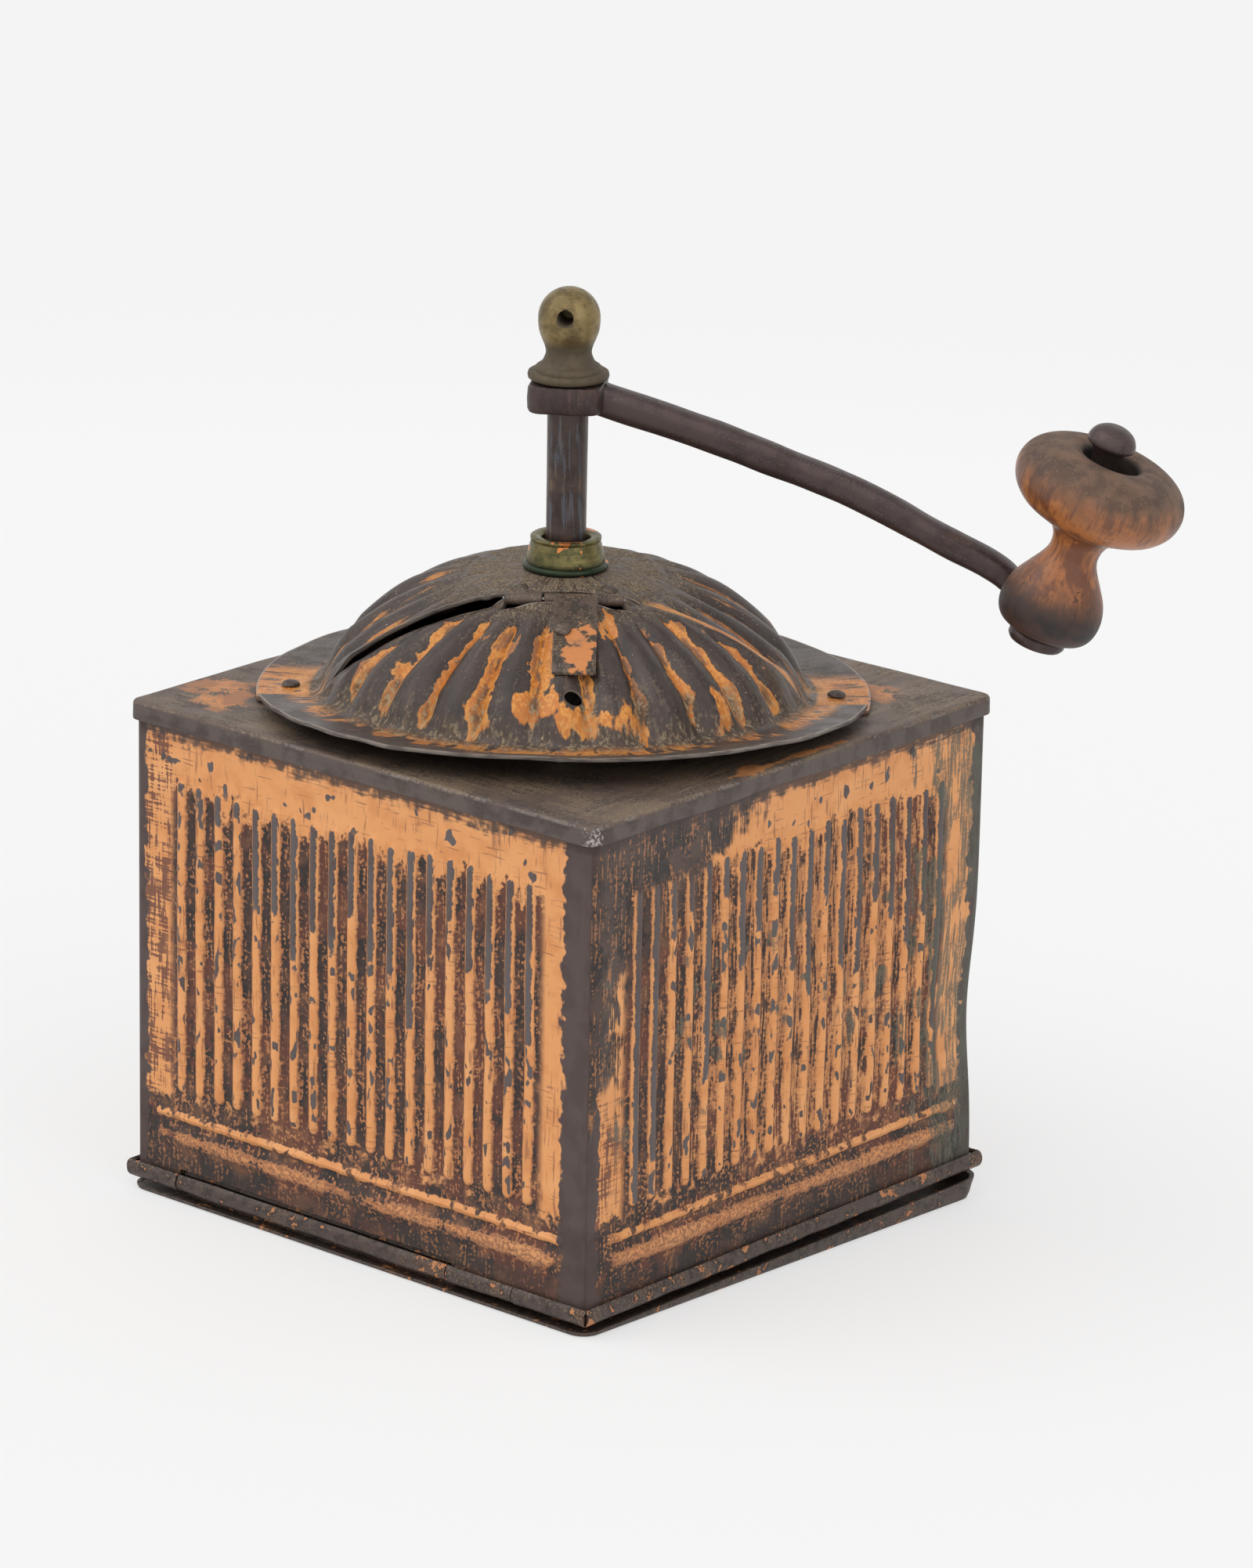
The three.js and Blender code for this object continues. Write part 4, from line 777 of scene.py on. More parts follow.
# %% Sizes of the dome
DOME_BALL, DOME_CENTRE, DOME_HOLE, CROWN = 67.0, 61.0, 6.0, 19.5
FLUTES, FLUTE_DEPTH, FLUTE_DEEPER = 26, 1.7, 1.0
FOOT, FLANGE_FROM, FLANGE, FLANGE_TOP = 48.3, 50.0, 60.2, 102.7
LID_TURN = math.radians(-49.8)
REAR_SWELL, SPLIT_GAP = 2.6, 0.9
EDGE_RISE, LID_SAG = 1.2, 1.4
LID_REAR_LIFT, LID_FRONT_LIFT, LID_FOOT = 0.95, 3.1, 10.0
HINGE_X, HINGE_Z, BARREL, BARREL_HALF, BARREL_JOINT = 16.7, 126.1, 1.15, 11.5, -4.0
BARE_HOLE, BARE_HOLE_AT = 1.75, (41.6, 2.4)
SPLIT_LINE = np.array([[0, 14.0], [39, 14.0], [44, 12.2], [47.5, 9.1], [70, 9.1]])
LID_LINE = np.array([[0, 14.9], [39, 14.9], [44, 13.1], [47.5, 10.0], [70, 10.0]])

# How much lacquer is left in each valley of the lid, from its left end to its right.
VALLEYS = [0.4, 0.42, 0.5, 0.55, 0.78, 0.6, 0.3, 0.2, 0.35, 0.6, 0.66, 0.5]

# Patches of lacquer on the lid: their middle, sideways and ahead of the spindle, and their half-widths.
LID_LACQUER = [
    (8.4, 25, 1.6, 4.5), (-4, 43, 5, 1.8), (-3, 35, 2, 7), (4, 45.5, 4, 1.4), (14, 44, 2.5, 2.5),
    (31, 33, 2, 4)]
DOME_PROFILE = [
    [43.0, 112.37], [44.4, 110.6], [45.7, 108.6], [46.7, 106.6], [47.4, 104.9], [48.1, 103.7],
    [49.2, 102.95], [50.8, 102.7], [54.0, 102.7], [57.0, 102.7], [60.2, 102.7]]

print(f"{FLUTES} flutes, the deepest {FLUTE_DEPTH + FLUTE_DEEPER:.1f} mm")


def ball_height(radius):
    """The ball that the dome follows: its height at a distance from the spindle, by Pythagoras."""
    return DOME_CENTRE + np.sqrt(DOME_BALL**2 - np.minimum(radius, FLANGE_FROM) ** 2)


def square_to_dome(points, x, y, lift=0.0):
    """Stands a piece on the ball at (x, y): its own up becomes the direction from the ball's centre."""
    up = np.array([x, y, ball_height(math.hypot(x, y)) - DOME_CENTRE])
    up /= np.linalg.norm(up)
    side = np.cross([0, 1, 0], up)
    side /= np.linalg.norm(side)
    return points @ np.stack([side, np.cross(up, side), up]) + [0, 0, DOME_CENTRE + lift]


def dome_profile():
    """The dome's outside as (radius, z): the ball with the crown's small step, then the foot and flange."""
    radius = np.concatenate([
        np.linspace(DOME_HOLE, 18.4, 10), np.linspace(18.8, 21.4, 9), np.linspace(22.2, 42.4, 30)])
    step = 0.45 * (1 - eased(radius, 18.9, 20.6)) - 0.25 * np.exp(-((radius - 20.6) / 0.7) ** 2)
    ball = np.stack([radius, ball_height(radius) + step], -1)
    return np.vstack([ball, curve_through(DOME_PROFILE, 4)])


def to_box(points):
    """Turns the dome, modelled with its lid towards +X, to its place on the box."""
    x, y = points[..., 0], points[..., 1]
    return leaned(about_z(x, y, points[..., 2], LID_TURN))


def line_distance(angle, line):
    """How far a ray from the spindle runs until it meets the split line, found by moving a fifth of the way
    to line(distance x sine) / cosine, again and again. A longer step would swing where the line is steep."""
    cosine = np.maximum(np.cos(angle), 1e-3)
    distance = np.full_like(angle, line[0, 1]) / cosine
    for _ in range(60):
        met = np.interp(np.abs(distance * np.sin(angle)), line[:, 0], line[:, 1]) / cosine
        distance = distance + 0.2 * (met - distance)
    return np.where(np.cos(angle) > 0.02, distance, 1e3)


def lid_lift(radius, ahead):
    """How far the bent lid stands up: with the square of the radius, and more towards its front."""
    along = (ahead - LID_FOOT) / (FLANGE - LID_FOOT)
    return (radius / FOOT) ** 2 * (LID_REAR_LIFT + (LID_FRONT_LIFT - LID_REAR_LIFT) * along)


def dome_grid(angle, low, high, lid):
    """The outside and the inside of one half, as a closed loop of rows, and what its finish reads."""
    profile = dome_profile()
    inner = profile[::-1][::2]
    radius = np.concatenate([profile[:, 0], inner[:, 0]])[:, None]
    z = np.concatenate([profile[:, 1], inner[:, 1]])[:, None]
    inside = (np.arange(len(radius)) >= len(profile))[:, None]
    kept = np.clip(radius, low[None, :], high[None, :])
    z = np.where(kept == radius, z, np.interp(kept, profile[:, 0], profile[:, 1]))
    lobe = np.abs(np.cos(FLUTES * angle / 2))[None, :] ** 0.8
    share = eased(kept, 19.8, 29.0) * (1 - eased(kept, 45.5, 49.4))
    border = np.minimum(kept - low[None, :], high[None, :] - kept)
    share = share * eased(border, 0.6, 4.2) if lid else share * eased(border, 2.2, 6.0)
    depth = FLUTE_DEPTH + FLUTE_DEEPER * eased(kept, 28, 44)
    sink = depth * share * (1 - lobe) + np.where(inside, SHEET, 0)
    flat = kept > FLANGE_FROM
    out, up = np.where(flat, 0.0, kept / DOME_BALL), np.where(flat, 1.0, (z - DOME_CENTRE) / DOME_BALL)
    ahead, beside = kept * np.cos(angle), kept * np.sin(angle)
    parted = eased(-beside, 9, 17) * (1 - eased(kept, 43, 48)) * np.exp(-((border / 3.5) ** 2))
    if lid:
        lift = lid_lift(kept, ahead) - LID_SAG * parted
    else:
        behind = np.clip(-ahead / 12, 0, 1)
        lift = REAR_SWELL * behind * np.sin(np.pi * np.clip((kept - CROWN / 2) / (FOOT - CROWN / 2), 0, 1))
        lift = lift + EDGE_RISE * parted
    r = kept - out * sink
    spot = np.stack([r * np.cos(angle), r * np.sin(angle)], -1)
    wave = 0.12 * ripple(spot, 16, 71 + lid) * eased(kept, 21, 28)
    wave = wave + 0.25 * ripple(spot, 26, 73 + lid) * eased(kept, 52, 60)
    shape = np.concatenate([spot, (z - up * sink + lift + wave)[..., None]], -1)
    turn = angle * 40 + 0 * kept
    place = np.stack([turn, kept + 0 * turn, np.where(inside, BACK_PLACE, 0) + 0 * turn], -1)
    middle = (len(VALLEYS) - 1) / 2
    coat = np.interp(angle * FLUTES / (2 * np.pi), np.arange(len(VALLEYS)) - middle, VALLEYS)
    values = {"lobe": lobe * share + (1 - share), "share": share, "radius": kept, "border": border,
              "ahead": ahead, "beside": beside, "inside": 1.0 * inside + 0 * kept, "coat": coat + 0 * kept}
    return shape, place, values


# %% [markdown]
# ## The finish of the dome
# On the lid the lobes are worn to dark metal and the lacquer is left in the valleys between them. Dust lies
# at the lobes' feet and on the crown, and the valleys carry painted shade. The flange is dark with a thin
# bright edge where it has been rubbed.

# %% The dome finish


def dome_finish(name, seed, lid):
    f = Finish(name)
    place = f.own("place", "Vector")
    lobe, share, radius, border = (f.own(n) for n in ("lobe", "share", "radius", "border"))
    ahead, beside = f.own("ahead"), f.own("beside")
    cloud, patch, small, fine, rays, specks = f.noises(
        place, seed, (14, 3), (3.8, 4, (0.8, 1.7, 1)), (1.6, 3, (1, 1.4, 1)), (0.55, 3), (1.1, 3, (1, 9, 1)),
        (0.4, 1))
    dark = f.over(paint(64, 50, 45), paint(44, 34, 31), (patch + 0.4 * rays).past(-0.1, 0.12))
    dark = f.over(dark, paint(104, 86, 72), (rays + 0.5 * cloud + 0.5 * fine).past(0.04, 0.2) * 0.45)
    # Painted shade: the flutes' valleys are darkened to show their depth, where no lacquer covers them.
    dark = f.over(dark, paint(40, 30, 26), (1 - lobe) * share * 0.6)
    orange = f.over(paint(192, 114, 38), paint(216, 144, 60), (fine + 0.6 * cloud).past(-0.06, 0.1))
    orange = f.over(orange, paint(128, 78, 50), (patch + 0.7 * rays + 0.5 * small).past(0.06, 0.2) * 0.75)
    stained = lobe.past(0.36, 0.12) * (patch + small).past(-0.02, 0.12)
    orange = f.over(orange, paint(104, 74, 56), stained * 0.85)
    if lid:
        left = f.own("coat") * 0.85 + 1.9 * patch + 0.9 * cloud + 0.7 * small - lobe
        coat = left.past(-0.04, 0.03) * share.past(0.06, 0.3)
        coat = coat | f.spots(beside, ahead, LID_LACQUER, 7 * patch + 4 * small)
        flange = radius.within(49.5, 54.5, 1.6) * (patch + 0.8 * cloud + 0.6 * rays).past(-0.08, 0.0)
        coat = coat | flange * 0.9
    else:
        coat = (rays + 0.9 * cloud + 0.25 * (0.6 - lobe)).past(0.06, 0.16) * radius.past(21, 26) * 0.7
        band = border.past(4.6, 3.4) * ahead.past(9, 11) * radius.past(19, 23)
        coat = coat | band * (patch + 0.6 * rays + 0.011 * beside).past(0.04, 0.12)
        tab = radius.past(49.3, 50.2) * abs(beside).past(44, 47) * ahead.past(-16, -9)
        comb = rays.past(0.02, 0.08) * radius.past(55.2, 56.4)
        coat = coat * (1 - tab) | tab * (0.95 - 0.85 * comb) * patch.past(-0.2, -0.12)
    f.colour = f.over(dark, orange, coat)
    crown = radius.past(22, 17)
    feet = radius.within(42.5, 49.5, 1.6) * lobe.past(0.66, 0.3)
    lying = feet | crown | radius.within(46.5, 51, 1.5) * 0.6 | radius.past(30, 22) * 0.6
    lying = lying | (cloud + 0.2) * (1 - 0.8 * lobe * share) * 0.7
    dust = lying * (0.35 * fine + 0.7 * patch + 0.4 * small).past(-0.14, 0.08)
    f.lay(f.over(paint(128, 110, 88), paint(94, 80, 64), small.past(-0.06, 0.08)), dust * 0.75)
    f.lay(paint(172, 152, 122), dust * fine.past(0.03, 0.12) * 0.7)
    f.lay(paint(190, 170, 138), specks.past(0.24, 0.28))
    rim = radius.past(59.6, 60.1) | border.past(0.35, 0.1) * 0.8
    f.lay(paint(150, 138, 128), rim * (0.3 + 0.6 * patch.past(-0.1, 0.05)))
    f.lay(BLACK_GRIME, f.own("inside") * 0.8)
    rough = 0.4 + 0.45 * dust + 0.25 * patch
    relief = coat * 0.3 + fine * (0.2 + 0.5 * dust) + patch * 0.3
    return f.set(rough, relief, 0.16, 0.2 - 0.2 * coat)


# %% The two halves of the dome
full = 2 * np.pi * np.arange(FLUTES * 14) / (FLUTES * 14)
rear_limit = np.minimum(line_distance(full, SPLIT_LINE), FLANGE)
shape, place, values = dome_grid(full, np.zeros_like(full), rear_limit, lid=False)
rear = Piece("dome_rear_skin").add(shape, to_box, along=True, place=place, **values)
rear.done("mill", ["dome_rear"], "worn_tin", dome_finish("fixed_dome", 81, False), math.radians(60))

widest = math.acos(LID_FOOT / FLANGE)
notch = BARREL_HALF + SPLIT_GAP
rays = np.linspace(-widest, widest, 230)
edge = line_distance(rays, LID_LINE)
cleared = (HINGE_X + BARREL + KNUCKLE_GAP) / np.cos(rays)
edge = np.where(np.abs(cleared * np.sin(rays)) < notch, cleared, edge)
shape, place, values = dome_grid(rays, np.minimum(edge, FLANGE), np.full_like(rays, FLANGE), lid=True)
lid = Piece("lid_skin").add(shape, to_box, around=False, along=True, place=place, **values).done(
    "lid", ["lid_shell"], "worn_tin", dome_finish("lid_dome", 91, True), math.radians(60))
low, high = DOME_BALL - 6, DOME_BALL + 6
hole = turned([[0, low], [BARE_HOLE, low], [BARE_HOLE, high], [0, high]], 32)
cut_hole(lid, square_to_dome(hole, *BARE_HOLE_AT), to_box, inside=1.0)

# %% [markdown]
# ## The door
# The whole bottom is a shallow pan that swings down on the front wire. It lies level on the table while the
# box leans over it. Its section runs from the middle of the floor out to the rim and back inside, and the
# rim stands higher towards the back, where it flares a little. A tube round the wire joins it to the box.

# %% The door pan
PAN_HALF, PAN_CORNER, RIM_CLEAR = 60.3, 4.2, 1.2
TAB = (47.0, 54.0)
TAB_RISE = 2.6


def rim_height(y):
    """How high the pan's rim stands: just under the leaning box's rolled edge."""
    return ROLL_Z + math.tan(LEAN) * (y + WALL_MID) - ROLL_OUT - RIM_CLEAR


def make_pan():
    starts, ways = square_path(PAN_HALF, PAN_CORNER)
    edge = starts + ways * PAN_CORNER
    high = rim_height(edge[:, 1])
    inner = edge - ways * SHEET
    share = np.array([0, 0.35, 0.7, 0.9, 0.97])[:, None, None]
    floor = (edge - ways * 1.2) * share
    rise = np.array([0.0, 0.08, 0.3, 0.62, 0.9, 1.0])[:, None]
    flare = 0.9 * np.clip(high / 5, 0, 1) * rise**2
    out = np.array([-1.2, -0.45, -0.08, 0.0, 0.0, -0.12])[:, None] + flare
    wall = edge + ways * out[..., None]
    level = rise * high
    back = np.array([0.94, 0.7, 0.45, 0.25])[:, None]
    inner_wall = edge + ways * (-0.12 - SHEET + 0.9 * np.clip(high / 5, 0, 1) * back**2)[..., None]
    inner_level = SHEET + (high - SHEET) * back
    plan = np.vstack([floor, wall, inner_wall, (inner - ways * 1.0) * share[::-1]])
    tall = np.vstack([0 * floor[..., 0], level, inner_level, SHEET + 0 * floor[..., 0]])
    dip = 0.12 * (1 + ripple(plan, 30, 97)) * (np.arange(len(plan)) < 5)[:, None]
    pan = Piece("door_pan_skin").add(np.concatenate([plan, (tall + dip)[..., None]], -1), flat_on_floor)
    add_roll(pan, flat_on_floor, *KNUCKLE, 0, 98, (False, False))
    web_y = [-WALL_MID + ROLL_BORE, -WALL_MID + ROLL_BORE + SHEET]
    web = [[web_y[0], ROLL_Z + 0.6], [web_y[1], ROLL_Z + 0.4], [web_y[1], 0.5], [web_y[0], 0.5]]
    inside = WALL_MID + ROLL_OUT + KNUCKLE_GAP
    top = ROLL_Z + math.tan(LEAN) * 2 * WALL_MID + ROLL_OUT + TAB_RISE
    tongue = [[PAN_HALF - SHEET, 0.1], [inside + SHEET - 0.5, 0.1], [inside + SHEET, 0.6],
              [inside + SHEET, top - 0.3], [inside + SHEET + 0.5, top], [inside + 0.4, top],
              [inside, top - 0.5], [inside, SHEET], [PAN_HALF - SHEET, SHEET]]
    for bar in carried(np.linspace(*KNUCKLE, 12), web), carried(np.linspace(*TAB, 8), tongue):
        pan.add(bar, flat_on_floor, around=False, along=True, capped=True)
    return pan


make_pan().done("door", ["door_pan"], "worn_tin", dark_tin("door_tin", 13, 0.14, 0.35, (72, 58, 52)))

# %% [markdown]
# ## The lid's hinge
# A strip is bent round a thin pin at the crown's front edge. The left knuckle belongs to the leaf that is
# riveted under the crown, and the long right one to the strap that runs down over the lid. A strap is a
# thin rectangle carried along the dome's own curve, and each knuckle is a turned tube with soft ends.

# %% The hinge's pieces
LEAF_FROM, LEAF_TO, STRAP_TO, STRAP_HALF, STRAP_SHIFT = 6.6, 14.9, 38.5, 4.2, 2.4
BORE, BARREL_GAP = 0.7, 0.2


def across_box(points, x, z):
    """A piece turned about Z, laid along Y at a place beside the spindle."""
    return np.stack([points[..., 0] + x, points[..., 2], points[..., 1] + z], -1)


def knuckle(start, stop):
    length = stop - start
    soft = 0.25
    profile = np.array([[BORE, 0], [BARREL - soft, 0], [BARREL, soft], [BARREL, length / 2],
                        [BARREL, length - soft], [BARREL - soft, length], [BORE, length]])
    return across_box(turned(profile + [0, start], 40), HINGE_X, HINGE_Z)


def strip(length, width, under, lift=0.0, lid=0):
    """A thin band along the dome, between two x and two y. Its underside lies at a distance from the ball,
    and on the lid it stands up with the lid."""
    x = np.linspace(*length, 26)
    up = ball_height(x) + lift + lid * lid_lift(x, x)
    low, high = width
    soft = SHEET * 0.3
    y = np.array([low, low + soft, high - soft, high, high, high - soft, low + soft, low])
    z = np.array([SHEET - soft, SHEET, SHEET, SHEET - soft, soft, 0, 0, soft]) + under
    ends = 1 - 0.35 * np.exp(-(((x - length[1]) / 0.5) ** 2))
    wave = 0.12 * ripple(np.stack([x, 0 * x], -1), 8, 101)
    level = (up + wave)[:, None] + z * ends[:, None]
    return np.stack(np.broadcast_arrays(x[:, None], y, level), -1)


hinge_tin = dark_tin("hinge_tin", 17, 0.3, 0.75, (88, 73, 64))
leaf = Piece("hinge_leaf_strip")
leaf.add(knuckle(-BARREL_HALF, BARREL_JOINT - BARREL_GAP), to_box, along=True)
leaf.add(strip((LEAF_FROM, LEAF_TO), (-BARREL_HALF, BARREL_HALF), -2.0), to_box, capped=True)
tongue = strip((LEAF_TO - 1.5, HINGE_X), (-BARREL_HALF, BARREL_JOINT - BARREL_GAP), -0.9, 0.4)
leaf.add(tongue, to_box, capped=True)
leaf.done("mill", ["hinge_leaf"], "worn_tin", hinge_tin)
strap = Piece("lid_strap_strip")
strap.add(knuckle(BARREL_JOINT + BARREL_GAP, BARREL_HALF), to_box, along=True)
band = STRAP_SHIFT - STRAP_HALF, STRAP_SHIFT + STRAP_HALF
strap.add(strip((HINGE_X, STRAP_TO), band, 0.3, lid=1), to_box, capped=True)
strap_tin = dark_tin("strap_tin", 19, 0.3, 0.7, (84, 68, 58), (32.6, 3.2, 5.2, 2.9))
strap.done("lid", ["lid_strap"], "worn_tin", strap_tin)

# %% [markdown]
# ## Rivets
# A rivet is a short turned piece with a round head, set square to the sheet that it goes through. A few
# hammer marks leave the head a little out of round.

# %% The rivets
HEAD, HEAD_RISE, SHANK, STRAP_RIVET = 1.75, 0.9, 0.9, 28.0


def rivet(tail, seat, seed):
    t = np.linspace(0, 1, 7)[:, None] * np.pi / 2
    dome = np.hstack([HEAD * np.cos(t), seat + HEAD_RISE * np.sin(t)])
    foot = np.hstack([HEAD * np.sin(t), tail - HEAD_RISE * np.cos(t)])
    return out_of_round(turned(np.vstack([foot, [[SHANK, tail], [SHANK, seat]], dome]), 28), 0.08, 2.5, seed)


UNDER, THROUGH = COVER_TOP - SHEET - 0.3, FLANGE_TOP + 0.3
for name, side in [("tab_rivet_left", -1), ("tab_rivet_right", 1)]:
    shape = rivet(UNDER, THROUGH, side + 110) + [0, side * 53.5, 0]
    Piece(name + "_head").add(shape, to_box).done("mill", [name], "worn_tin", rolled_tin)
for name, side in [("hinge_rivet_left", -1), ("hinge_rivet_right", 1)]:
    shape = square_to_dome(rivet(DOME_BALL - 2.2, DOME_BALL + 0.3, side + 115), 11.6, side * 8.6)
    Piece(name + "_head").add(shape, to_box).done("mill", [name], "worn_tin", hinge_tin)
shape = rivet(DOME_BALL - 1.5, DOME_BALL + 1.3, 120)
shape = square_to_dome(shape, STRAP_RIVET, 0, lid_lift(STRAP_RIVET, STRAP_RIVET))
Piece("strap_rivet_head").add(shape, to_box).done("lid", ["strap_rivet"], "worn_tin", hinge_tin)

# %% [markdown]
# ## Brass
# The collar round the spindle and the ball nut on top are turned brass. The collar has gone green and
# olive, and the nut is dull and brown in its neck, and brighter where fingers have held the ball. A fine
# turned grain runs round both, so the noise is stretched round the axis by reading the height and the
# radius.

# %% The brass finish


def brass_finish(name, seed, light, dark, brown_from, brown_to, green):
    f = Finish(name)
    place = f.own("place", "Vector")
    level = f.own("level")
    cloud, patch, fine, rings = f.noises(place, seed, (4, 3), (1.3, 4), (0.35, 2), (0.4, 2, (30, 30, 1)))
    f.colour = f.over(paint(*light), paint(*dark), (cloud + 0.4 * patch).past(-0.1, 0.12))
    f.lay(paint(150, 126, 76), rings.past(0.05, 0.2) * 0.3)
    neck = (level + 1.6 * patch + cloud).past(brown_to, brown_from)
    f.lay(paint(76, 66, 54), neck * 0.85)
    f.lay(paint(52, 42, 34), (fine + 0.6 * patch).past(0.14, 0.24) * 0.6)
    if green:
        band = (level + 0.5 * patch).past(2.3, 1.0)
        f.lay(paint(30, 46, 34), band * 0.9)
        chip = (cloud + 0.25 * patch).past(0.11, 0.13)
        f.lay(DEEP_ORANGE, chip)
        f.lay(paint(160, 146, 96), level.within(5.7, 6.3, 0.2) * patch.past(-0.02, 0.08) * 0.6)
    rough = 0.36 + 0.25 * neck + 0.3 * patch
    return f.set(rough, fine * 0.3 + patch * 0.4 + rings * 0.3, 0.06, 0.8 - 0.35 * neck)


# %% The collar
COLLAR_SEAT, COLLAR_BORE = 128.0, 4.75
COLLAR_PROFILE = [
    [COLLAR_BORE, -3.2], [5.6, -3.2], [5.6, 0.05], [8.2, 0.05], [8.35, 0.3], [8.35, 0.9], [8.1, 1.15],
    [7.7, 1.3], [7.75, 1.6], [7.65, 2.4], [7.35, 3.6], [7.0, 4.9], [6.75, 5.6], [6.95, 5.8], [6.95, 6.3],
    [6.7, 6.5], [5.6, 6.5], [5.0, 6.3], [COLLAR_BORE, 5.9]]

collar = turned(np.array(COLLAR_PROFILE) + [0, COLLAR_SEAT], 96)
green_brass = brass_finish("green_brass", 131, (112, 104, 66), (78, 76, 50), -9, -8, True)
Piece("spindle_collar_ring").add(collar, along=True, level=collar[..., 2] - COLLAR_SEAT).done(
    "mill", ["spindle_collar"], "green_brass", green_brass, math.radians(50))

# %% [markdown]
# ## Iron
# Spindle, crank and knob pin are old iron with a purple-brown skin. The crank was forged: its round boss is
# drawn out into an oval bar that droops in a long curve and ends in a flat eye under the knob. The bar is
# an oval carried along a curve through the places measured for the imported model.

# %% The iron finish


def iron_finish(name, seed, tone, blue=0.0):
    f = Finish(name)
    place = f.own("place", "Vector")
    cloud, patch, fine, draw = f.noises(place, seed, (9, 3), (1.8, 4), (0.4, 2), (0.9, 3, (1, 1, 16)))
    f.colour = f.over(paint(*tone), paint(*tone, 0.78), (cloud + 0.5 * draw + 0.4 * patch).past(-0.12, 0.12))
    f.lay(paint(92, 66, 54), (cloud + 0.6 * draw + 0.3 * patch).past(0.06, 0.2) * 0.4)
    f.lay(paint(112, 104, 102), (fine + 0.8 * draw).past(0.12, 0.24) * 0.3)
    # blue sets a painted sheen: bluish streaks along the spindle stand in for its bluish highlight, laid with
    # warm brown streaks.
    if blue:
        f.lay(paint(88, 96, 108), (draw + 0.5 * cloud).past(0.04, 0.16) * blue)
        f.lay(paint(122, 98, 74), (draw - cloud).past(0.12, 0.24) * blue)
    rough = 0.4 + 0.3 * patch + 0.2 * cloud
    return f.set(rough, patch * 0.4 + fine * 0.3 + draw * 0.3, 0.08, 0.5)


# %% The spindle
SPINDLE, SPINDLE_FOOT, SHOULDER, THREAD, THREAD_TOP = 4.0, 46.4, 165.6, 3.0, 173.5
spindle = turned(np.array([
    [0, SPINDLE_FOOT], [2.5, SPINDLE_FOOT], [SPINDLE, 47.9], [SPINDLE, 60], [SPINDLE, 80], [SPINDLE, 100],
    [SPINDLE, 120], [SPINDLE, 128], [3.92, 136], [3.95, 150], [SPINDLE, 158], [SPINDLE, SHOULDER - 0.2],
    [SPINDLE - 0.2, SHOULDER], [THREAD, SHOULDER], [THREAD, THREAD_TOP], [0, THREAD_TOP]]), 64)
iron = iron_finish("dark_iron", 141, (74, 60, 58))
# The spindle's finish carries the painted bluish sheen at a share of 0.5.
Piece("spindle_shaft").add(spindle).done(
    "crank", ["spindle"], "dark_iron", iron_finish("spindle_iron", 145, (72, 58, 53), 0.5))

# %% The crank arm
BOSS_FOOT, BOSS_THICK, BOSS_HALF, BOSS_CORNER, BOSS_BORE = 160.0, 5.6, 7.3, 3.4, 4.25
ARM_WAY, EYE_WAY = math.radians(32.5), math.radians(24.5)
EYE_AT, EYE_Z, EYE_RADIUS, EYE_THICK, PIN_LEAN = 94.5, 123.1, 5.65, 3.0, math.radians(18.3)
ARM_LINE = [[6, 162.3], [26.8, 156.3], [42.2, 151.1], [57.6, 145.5], [73, 137.9], [82.6, 133.4],
            [86.9, 130.4], [90.6, 125.4]]
ARM_HALF = [[3.3, 3.2], [3.2, 3.1], [3.1, 3.0], [3.0, 3.0], [2.9, 3.0], [2.8, 3.1], [2.6, 3.3], [2.0, 3.7]]


def ray(angle):
    return np.array([math.cos(angle), math.sin(angle), 0.0])


EYE = EYE_AT * ray(EYE_WAY) + [0, 0, EYE_Z]
PIN_UP = ray(EYE_WAY) * math.sin(PIN_LEAN) + [0, 0, math.cos(PIN_LEAN)]
PIN_SIDE = ray(EYE_WAY + math.pi / 2)
PIN_OUT = np.cross(PIN_SIDE, PIN_UP)


def onto_pin(points):
    """From the pin's own frame, with Z along it and the eye's middle at the origin, to the upright box."""
    return leaned(points @ np.stack([PIN_OUT, PIN_SIDE, PIN_UP]) + EYE)


def arm_bar():
    """The oval bar: at each point of the curve an oval stands square to it. Its upward direction turns slowly
    from the vertical to the pin's direction, so the bar's end lies flat in the eye."""
    line = np.array(ARM_LINE)
    spots = line[:, :1] * ray(ARM_WAY) + line[:, 1:] * [0, 0, 1]
    spots = np.vstack([spots, EYE + 0.35 * (spots[-1] - EYE)])
    path = curve_through(spots, 9)
    sizes = curve_through(np.vstack([ARM_HALF, [1.6, 3.9]]), 9)
    way = np.gradient(path, axis=0)
    way /= np.linalg.norm(way, axis=1, keepdims=True)
    mix = eased(np.linspace(0, 1, len(path)), 0.72, 0.95)[:, None]
    up = (1 - mix) * np.array([0, 0, 1]) + mix * PIN_UP
    side = np.cross(up, way)
    side /= np.linalg.norm(side, axis=1, keepdims=True)
    up = np.cross(way, side)
    angle = 2 * np.pi * np.arange(36) / 36
    squarer = (np.abs(np.cos(angle)) ** 2.6 + np.abs(np.sin(angle)) ** 2.6) ** (-1 / 2.6)
    oval = np.stack([np.cos(angle) * squarer, np.sin(angle) * squarer], -1)
    shape = path[:, None] + oval[:, 1, None] * up[:, None] * sizes[:, None, :1]
    shape = shape + oval[:, 0, None] * side[:, None] * sizes[:, None, 1:]
    shape = shape + 0.09 * ripple(shape, 6, 151)[..., None] * up[:, None]
    along = np.cumsum(np.r_[0, np.linalg.norm(np.diff(path, axis=0), axis=1)])[:, None] + 0 * angle
    place = np.stack([3 * np.cos(angle) + 0 * along, 3 * np.sin(angle) + 0 * along, along], -1)
    return shape, place


